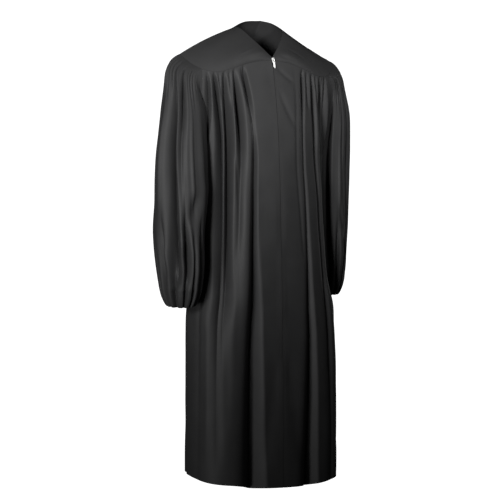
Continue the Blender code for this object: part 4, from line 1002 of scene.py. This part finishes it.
def make_side(side, folds, creases, tube, sleeve_folds, sleeve_creases, back_yoke, back_panel):
    """One side's yoke, front and sleeve as grids, worked out at +X and mirrored for the right side.

    back_yoke and back_panel are the back's outer points and normals as seen from this side.
    """
    corner = math.degrees(corner_turn(False))
    every_fold = with_shorts(folds)
    start = (0.0, 0.0, 0.0)
    end = (corner, SIDE_TURN, SIDE_TURN)
    tops, _, _ = panel_lines(every_fold, start, end)
    yoke = yoke_side(tops[::2], False, side)
    yoke_normals = grid_normals(yoke)
    yoke_normals[:, -1] = unit(yoke_normals[:, -1] + back_yoke[1][:, 0])
    back_yoke[1][:, 0] = yoke_normals[:, -1]
    yoke_normals[:, 0] = unit(yoke_normals[:, 0] * np.array((0.0, 1.0, 1.0)))
    across = len(tops[::2])
    front, front_normals = panel(every_fold, creases, start, end, False, side,
                                 yoke[-1, :across], yoke_normals[-1, :across])

    gap_x = np.array((SEAM_GAP, 0, 0))
    front_end = yoke[-1, across - 1:]
    front_end_normals = yoke_normals[-1, across - 1:]
    back_end = back_yoke[0][-1, :END_COLUMNS + 1][::-1]
    back_end_normals = back_yoke[1][-1, :END_COLUMNS + 1][::-1]
    rows = ARMHOLE_COLUMNS + 1
    head_shift = SEAM_GAP * below_seam(front_end, front_end_normals)
    back_shift = -SEAM_GAP * below_seam(back_end, back_end_normals)
    fade = np.linspace(1, 0, END_COLUMNS + 1)[:, None]
    armhole = armhole_line(front_end + head_shift + gap_x * fade, front[:rows, -1] + gap_x,
                           back_panel[0][:rows, 0] + gap_x, back_end + back_shift + gap_x * fade)
    sleeve_points = sleeve(armhole, tube, sleeve_folds, sleeve_creases)[:, ::-1]
    sleeve_normals = grid_normals(sleeve_points, closed_around=True)
    own = armhole_line(front_end_normals, front_normals[:rows, -1], back_panel[1][:rows, 0],
                       back_end_normals)[::-1]
    place = np.arange(AROUND)
    is_head = ((place <= HEAD_COLUMNS) | (place >= AROUND - HEAD_COLUMNS))[::-1, None]
    sleeve_normals[0] = np.where(is_head, own, sleeve_normals[0])

    yoke = yoke.copy()
    yoke[:, 0, 0] += SLIT_HALF
    yoke[:, -1] -= np.array((0, SIDE_GAP / 2, 0))
    front[:, 0, 0] += SLIT_HALF
    front[rows - 1:, -1] -= np.array((0, SIDE_GAP / 2, 0))
    grids = {
        "yoke_front": (yoke, yoke_normals),
        "front": (front, front_normals),
        "sleeve": (sleeve_points, sleeve_normals),
    }
    if side == "right":
        grids = {name: tuple(mirrored(part)[:, ::-1] for part in grid) for name, grid in grids.items()}
    return {name + "_" + side: grid for name, grid in grids.items()}


def make_back():
    """The back yoke and the back: their outer points and normals, before the side seams' gap is made."""
    corner = math.degrees(corner_turn(True))
    folds = with_shorts(BACK_FOLDS)
    start = (-corner, -SIDE_TURN, -SIDE_TURN)
    end = (corner, SIDE_TURN, SIDE_TURN)
    tops, _, _ = panel_lines(folds, start, end)
    seam_turns = tops[::2]
    left = yoke_side(seam_turns[seam_turns >= 0], True, "left")
    right = mirrored(yoke_side(-seam_turns[seam_turns <= 0][::-1], True, "right"))
    yoke = np.concatenate([left[:, ::-1], right[:, 1:]], 1)
    yoke_normals = grid_normals(yoke)
    between_ends = slice(END_COLUMNS, -END_COLUMNS)
    back, back_normals = panel(folds, BACK_CREASES, start, end, True, None, yoke[-1, between_ends],
                               yoke_normals[-1, between_ends])
    return (yoke, yoke_normals), (back, back_normals)


def from_side(side, points, normals):
    """The back's points and normals as the left side sees them, also for the right side."""
    if side == "left":
        return points.copy(), normals.copy()
    return mirrored(points)[:, ::-1].copy(), mirrored(normals)[:, ::-1].copy()


def garment():
    """Every cloth piece's outer points and normals, by the name of the solid that it stands in for."""
    back_yoke, back_panel = make_back()
    left_yoke = from_side("left", *back_yoke)
    right_yoke = from_side("right", *back_yoke)
    grids = make_side("left", LEFT_FRONT_FOLDS, LEFT_FRONT_CREASES, LEFT_TUBE, LEFT_SLEEVE_FOLDS,
                      LEFT_SLEEVE_CREASES, left_yoke, from_side("left", *back_panel))
    grids.update(make_side("right", RIGHT_FRONT_FOLDS, RIGHT_FRONT_CREASES, RIGHT_TUBE, RIGHT_SLEEVE_FOLDS,
                           RIGHT_SLEEVE_CREASES, right_yoke, from_side("right", *back_panel)))
    aside = np.array((0, SIDE_GAP / 2, 0))
    yoke, yoke_normals = back_yoke
    yoke_normals[:, 0] = left_yoke[1][:, 0]
    yoke_normals[:, -1] = mirrored(right_yoke[1][:, 0])
    back, back_normals = back_panel
    for column in (0, -1):
        yoke[:, column] += aside
        back[ARMHOLE_COLUMNS:, column] += aside
    grids["yoke_back"] = (yoke, yoke_normals)
    grids["back"] = (back, back_normals)
    return grids


def add_cloth(name, grid, thick, finish):
    """One cloth piece in place of its solid, which is hidden."""
    points, normals = grid
    closed = name.startswith("sleeve")
    made = cloth_wall(name + "_cloth", points, normals, thick, finish, closed)
    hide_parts(name)
    return made


def add_input(group, name, kind, default):
    """A named input of a node group, with the value that it has when nothing is plugged in."""
    made = group.interface.new_socket(name=name, in_out="INPUT", socket_type=kind)
    made.default_value = default


def math_node(nodes, links, operation, first, second):
    """A math node whose inputs are sockets or plain numbers. Returns its output socket."""
    node = nodes.new("ShaderNodeMath")
    node.operation = operation
    for place, value in enumerate((first, second)):
        if hasattr(value, "is_linked"):
            links.new(value, node.inputs[place])
        else:
            node.inputs[place].default_value = value
    return node.outputs[0]


def noise(nodes, links, place, scale, detail):
    """Noise over a place, by its scale and detail. Returns its output socket, from 0 to 1."""
    node = nodes.new("ShaderNodeTexNoise")
    node.inputs["Scale"].default_value = scale
    node.inputs["Detail"].default_value = detail
    links.new(place, node.inputs["Vector"])
    return node.outputs["Fac"]


def woven_group():
    """Shared shading of woven cloth: two sets of crossing threads, fuzz, and slow changes of tone.

    Each set of threads is a sine of the place across or down, and the weave is their product.
    """
    group = bpy.data.node_groups.new("woven cloth", "ShaderNodeTree")
    add_input(group, "Threads per metre", "NodeSocketFloat", CLOTH_THREADS)
    add_input(group, "Tone change", "NodeSocketFloat", 0.2)
    add_input(group, "Colour", "NodeSocketColor", (0.03, 0.03, 0.03, 1))
    group.interface.new_socket(name="Place", in_out="INPUT", socket_type="NodeSocketVector")
    group.interface.new_socket(name="Colour", in_out="OUTPUT", socket_type="NodeSocketColor")
    group.interface.new_socket(name="Height", in_out="OUTPUT", socket_type="NodeSocketFloat")
    nodes = group.nodes
    links = group.links
    given = nodes.new("NodeGroupInput")
    result = nodes.new("NodeGroupOutput")
    apart = nodes.new("ShaderNodeSeparateXYZ")
    links.new(given.outputs["Place"], apart.inputs[0])
    angle = math_node(nodes, links, "MULTIPLY", given.outputs["Threads per metre"], math.pi)
    warp = math_node(nodes, links, "SINE", math_node(nodes, links, "MULTIPLY", apart.outputs[0], angle), 0)
    weft = math_node(nodes, links, "SINE", math_node(nodes, links, "MULTIPLY", apart.outputs[1], angle), 0)
    weave = math_node(nodes, links, "MULTIPLY", warp, weft)
    height = math_node(nodes, links, "ADD", weave, noise(nodes, links, given.outputs["Place"], *FUZZ))
    tone = noise(nodes, links, given.outputs["Place"], *TONE)
    centred = math_node(nodes, links, "SUBTRACT", tone, 0.5)
    change = math_node(nodes, links, "MULTIPLY", centred, given.outputs["Tone change"])
    strength = math_node(nodes, links, "ADD", change, 1)
    scaled = nodes.new("ShaderNodeVectorMath")
    scaled.operation = "SCALE"
    links.new(given.outputs["Colour"], scaled.inputs[0])
    links.new(strength, scaled.inputs["Scale"])
    links.new(scaled.outputs[0], result.inputs["Colour"])
    links.new(height, result.inputs["Height"])
    return group


def shaded(name, roughness, metallic):
    """A new material and its Principled shader node."""
    made = bpy.data.materials.new(name)
    made.use_nodes = True
    shader = made.node_tree.nodes["Principled BSDF"]
    shader.inputs["Roughness"].default_value = roughness
    shader.inputs["Metallic"].default_value = metallic
    return made, shader


def cloth_material(name, settings, group, threads, roughness, has_uv=True):
    """Black woven cloth, tape or thread, from the shared weave. The tapes and stitches have no UV map."""
    made, shader = shaded(name, roughness, 0.0)
    nodes = made.node_tree.nodes
    links = made.node_tree.links
    weave = nodes.new("ShaderNodeGroup")
    weave.node_tree = group
    weave.inputs["Threads per metre"].default_value = threads
    weave.inputs["Tone change"].default_value = settings.tone_change
    weave.inputs["Colour"].default_value = (*settings.colour, 1)
    if has_uv:
        place = nodes.new("ShaderNodeUVMap")
        place.uv_map = "cloth"
        links.new(place.outputs["UV"], weave.inputs["Place"])
    else:
        place = nodes.new("ShaderNodeTexCoord")
        links.new(place.outputs["Object"], weave.inputs["Place"])
    links.new(weave.outputs["Colour"], shader.inputs["Base Color"])
    bump = nodes.new("ShaderNodeBump")
    bump.inputs["Strength"].default_value = settings.weave_strength
    bump.inputs["Distance"].default_value = settings.weave_height
    links.new(weave.outputs["Height"], bump.inputs["Height"])
    links.new(bump.outputs["Normal"], shader.inputs["Normal"])
    shader.inputs["Specular IOR Level"].default_value = settings.specular
    shader.inputs["Sheen Weight"].default_value = settings.sheen
    shader.inputs["Sheen Roughness"].default_value = SHEEN_ROUGHNESS
    return made


def metal_material(settings):
    """Bright plated metal, with faint wear in its roughness."""
    made, shader = shaded("zip_metal", sum(METAL_ROUGHNESS) / 2, 1.0)
    nodes = made.node_tree.nodes
    links = made.node_tree.links
    shader.inputs["Base Color"].default_value = (*settings.metal, 1)
    place = nodes.new("ShaderNodeTexCoord")
    ramp = nodes.new("ShaderNodeMapRange")
    ramp.inputs["To Min"].default_value = METAL_ROUGHNESS[0]
    ramp.inputs["To Max"].default_value = METAL_ROUGHNESS[1]
    links.new(noise(nodes, links, place.outputs["Object"], *WEAR), ramp.inputs["Value"])
    links.new(ramp.outputs["Result"], shader.inputs["Roughness"])
    return made


def dress(node, finish):
    """A CAD mesh kept as it is, with a scene material on its object."""
    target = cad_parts[node]
    if not target.material_slots:
        raise RuntimeError(node + " has no material slot")
    target.material_slots[0].link = "OBJECT"
    target.material_slots[0].material = finish


class RobeCloth(bpy.types.PropertyGroup):
    colour: bpy.props.FloatVectorProperty(
        name="Colour", description="The cloth's base colour", subtype="COLOR", size=3, min=0, max=1,
        default=(0.029, 0.029, 0.0295))
    thick: bpy.props.FloatProperty(
        name="Thickness", description="Thickness of the cloth", subtype="DISTANCE", unit="LENGTH",
        default=0.0010, min=0.0003, max=0.003)
    roughness: bpy.props.FloatProperty(
        name="Roughness", description="How dull the cloth is", default=0.62, min=0, max=1)
    specular: bpy.props.FloatProperty(
        name="Shine", description="Strength of the cloth's plain reflection", default=0.25, min=0, max=1)
    sheen: bpy.props.FloatProperty(
        name="Sheen", description="Light caught by fibres at a grazing angle", default=0.0, min=0, max=1)
    tone_change: bpy.props.FloatProperty(
        name="Tone change", description="How much the tone wanders over the cloth", default=0.25, min=0,
        max=1)
    weave_strength: bpy.props.FloatProperty(
        name="Weave", description="Strength of the weave's bump", default=0.12, min=0, max=1)
    weave_height: bpy.props.FloatProperty(
        name="Weave height", description="Height of the threads", subtype="DISTANCE", unit="LENGTH",
        default=0.00015, min=0, max=0.001)


class RobeZip(bpy.types.PropertyGroup):
    metal: bpy.props.FloatVectorProperty(
        name="Metal", description="Colour of the slider and the pull tab", subtype="COLOR", size=3, min=0,
        max=1, default=(0.72, 0.72, 0.71))


class RobeStage(bpy.types.PropertyGroup):
    power: bpy.props.FloatProperty(
        name="Light", description="Share of each light's own power", default=1.0, min=0)
    fill: bpy.props.FloatProperty(
        name="Fill", description="Strength of the even light from all round", default=0.02, min=0)
    backdrop: bpy.props.FloatProperty(
        name="Backdrop", description="Brightness of the plain white behind the robe", default=1.2, min=0)


def finishes(context):
    """The cloth, tape, thread and metal materials, made once and then found again by name."""
    known = bpy.data.materials
    if "robe_cloth" not in known:
        settings = context.scene.robe_cloth
        group = woven_group()
        cloth_material("robe_cloth", settings, group, CLOTH_THREADS, settings.roughness)
        cloth_material("robe_tape", settings, group, TAPE_THREADS, TAPE_ROUGHNESS, has_uv=False)
        cloth_material("robe_thread", settings, group, SEWING_THREADS, SEWING_ROUGHNESS, has_uv=False)
        metal_material(context.scene.robe_zip)
    return {name: known[name] for name in ("robe_cloth", "robe_tape", "robe_thread", "zip_metal")}


class GroupOperator(bpy.types.Operator):
    """Shared running of the operators that add cloth pieces by name."""
    bl_options = {"REGISTER", "UNDO"}
    pieces = ()
    held = "hung"

    def execute(self, context):
        finish = finishes(context)["robe_cloth"]
        grids = garment()
        for name in self.pieces:
            add_cloth(name, grids[name], context.scene.robe_cloth.thick, finish)
        return {"FINISHED"}


class ROBE_OT_yokes(GroupOperator):
    """Add the smooth yoke: two fronts and the back."""
    bl_idname = "robe.yokes"
    bl_label = "Add the yoke"
    pieces = ("yoke_front_right", "yoke_front_left", "yoke_back")
    held = "stretched"


class ROBE_OT_fronts(GroupOperator):
    """Add the two fronts, smooth beside the zip and gathered beyond."""
    bl_idname = "robe.fronts"
    bl_label = "Add the fronts"
    pieces = ("front_right", "front_left")


class ROBE_OT_back(GroupOperator):
    """Add the gathered back."""
    bl_idname = "robe.back"
    bl_label = "Add the back"
    pieces = ("back",)


class ROBE_OT_sleeves(GroupOperator):
    """Add the two full sleeves, gathered at the head and at the wrist."""
    bl_idname = "robe.sleeves"
    bl_label = "Add the sleeves"
    pieces = ("sleeve_right", "sleeve_left")
    held = "gathered"


class ROBE_OT_zip(bpy.types.Operator):
    """Finish the zip's tapes, slider and pull, and add its teeth."""
    bl_idname = "robe.zip"
    bl_label = "Add the zip"
    bl_options = {"REGISTER", "UNDO"}

    def execute(self, context):
        finish = finishes(context)
        for node in ("zip_tape_right", "zip_tape_left"):
            dress(node, finish["robe_tape"])
        for node in ("zip_slider", "zip_pull"):
            dress(node, finish["zip_metal"])
        add_teeth(finish["robe_tape"])
        return {"FINISHED"}


def yoke_stitching(points, normals):
    """A yoke's two rows of stitches: along its neckline, and along its edge."""
    neck = surface_line(points, normals, NECK_STITCH_INSET)
    edge = surface_line(points, normals, SEAM_STITCH_INSET, from_foot=True)
    return [neck, edge]


class ROBE_OT_stitching(bpy.types.Operator):
    """Add the topstitching along the zip, the yoke seams, the neckline and the hem."""
    bl_idname = "robe.stitching"
    bl_label = "Add the stitching"
    bl_options = {"REGISTER", "UNDO"}

    def execute(self, context):
        finish = finishes(context)["robe_thread"]
        grids = garment()
        for side in ("right", "left"):
            points, normals = grids["front_" + side]
            beside_zip = surface_line(points.transpose(1, 0, 2), normals.transpose(1, 0, 2),
                                      ZIP_STITCH_INSET, from_foot=side == "right")
            hem = surface_line(points, normals, HEM_STITCH_INSET, from_foot=True)
            add_stitches("stitches_front_" + side, [beside_zip, hem], finish)
            add_stitches("stitches_yoke_" + side, yoke_stitching(*grids["yoke_front_" + side]), finish)
        hem = surface_line(*grids["back"], HEM_STITCH_INSET, from_foot=True)
        add_stitches("stitches_back", [hem], finish)
        add_stitches("stitches_yoke_back", yoke_stitching(*grids["yoke_back"]), finish)
        return {"FINISHED"}


def add_area_light(name, place, aim, size, spread, power):
    """A rectangular soft light at a place, turned to face a point, with a beam of so many degrees."""
    data = bpy.data.lights.new(name, "AREA")
    data.shape = "RECTANGLE"
    data.size = size[0]
    data.size_y = size[1]
    data.spread = math.radians(spread)
    data.energy = power
    lamp = bpy.data.objects.new(name, data)
    bpy.context.collection.objects.link(lamp)
    lamp.location = place
    lamp.rotation_euler = (Vector(aim) - Vector(place)).to_track_quat("-Z", "Y").to_euler()
    return lamp


def white_world(settings):
    """Plain white behind the robe, seen by the camera only, with a weaker even light from all round."""
    world = bpy.data.worlds.new("plain_white")
    world.use_nodes = True
    nodes = world.node_tree.nodes
    links = world.node_tree.links
    seen = nodes["Background"]
    seen.inputs["Color"].default_value = (1, 1, 1, 1)
    path = nodes.new("ShaderNodeLightPath")
    mixed = nodes.new("ShaderNodeMix")
    mixed.data_type = "FLOAT"
    mixed.inputs["A"].default_value = settings.fill
    mixed.inputs["B"].default_value = settings.backdrop
    links.new(path.outputs["Is Camera Ray"], mixed.inputs["Factor"])
    links.new(mixed.outputs["Result"], seen.inputs["Strength"])
    return world


def add_camera():
    """The photograph's camera: from the wearer's right front, a little below the chest and turned down."""
    data = bpy.data.cameras.new("photo_camera")
    data.sensor_width = CAMERA_SENSOR
    data.lens = CAMERA_LENS
    data.shift_x = CAMERA_SHIFT[0]
    data.shift_y = CAMERA_SHIFT[1]
    data.clip_start = CAMERA_NEAR
    camera = bpy.data.objects.new("photo_camera", data)
    bpy.context.collection.objects.link(camera)
    camera.location = CAMERA_PLACE
    camera.rotation_euler = (math.radians(90.0) - CAMERA_PITCH, 0.0, -CAMERA_TURN)
    bpy.context.scene.camera = camera
    return camera


class ROBE_OT_stage(bpy.types.Operator):
    """Add the camera, the soft lights and the plain white surroundings."""
    bl_idname = "robe.stage"
    bl_label = "Add the stage"
    bl_options = {"REGISTER", "UNDO"}

    def execute(self, context):
        settings = context.scene.robe_stage
        context.scene.world = white_world(settings)
        context.scene.view_settings.view_transform = "Standard"
        for lamp in LAMPS:
            add_area_light(lamp.name, lamp.place, lamp.aim, lamp.size, lamp.spread,
                           lamp.power * settings.power)
        add_camera()
        return {"FINISHED"}


SETTINGS = {"robe_cloth": RobeCloth, "robe_zip": RobeZip, "robe_stage": RobeStage}
OPERATORS = (ROBE_OT_yokes, ROBE_OT_fronts, ROBE_OT_back, ROBE_OT_sleeves, ROBE_OT_zip,
             ROBE_OT_stitching, ROBE_OT_stage)


class ROBE_PT_panel(bpy.types.Panel):
    """Buttons for each group of pieces, and the settings that they read."""
    bl_label = "Baptismal robe"
    bl_idname = "ROBE_PT_panel"
    bl_space_type = "VIEW_3D"
    bl_region_type = "UI"
    bl_category = "Robe"

    def draw(self, context):
        for name in SETTINGS:
            settings = getattr(context.scene, name)
            box = self.layout.box()
            for key in settings.bl_rna.properties.keys():
                if key not in ("rna_type", "name"):
                    box.prop(settings, key)
        for operator in OPERATORS:
            self.layout.operator(operator.bl_idname)


CLASSES = (*SETTINGS.values(), *OPERATORS, ROBE_PT_panel)


def register():
    """Add the settings, operators and panel to Blender."""
    for each in CLASSES:
        bpy.utils.register_class(each)
    for name, group in SETTINGS.items():
        setattr(bpy.types.Scene, name, bpy.props.PointerProperty(type=group))


def unregister():
    """Take away what register adds."""
    for name in SETTINGS:
        delattr(bpy.types.Scene, name)
    for each in reversed(CLASSES):
        bpy.utils.unregister_class(each)


def main():
    """Register the add-on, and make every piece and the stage."""
    register()
    bpy.ops.robe.yokes()
    bpy.ops.robe.fronts()
    bpy.ops.robe.back()
    bpy.ops.robe.sleeves()
    bpy.ops.robe.zip()
    bpy.ops.robe.stitching()
    bpy.ops.robe.stage()


if __name__ == "__main__":
    main()
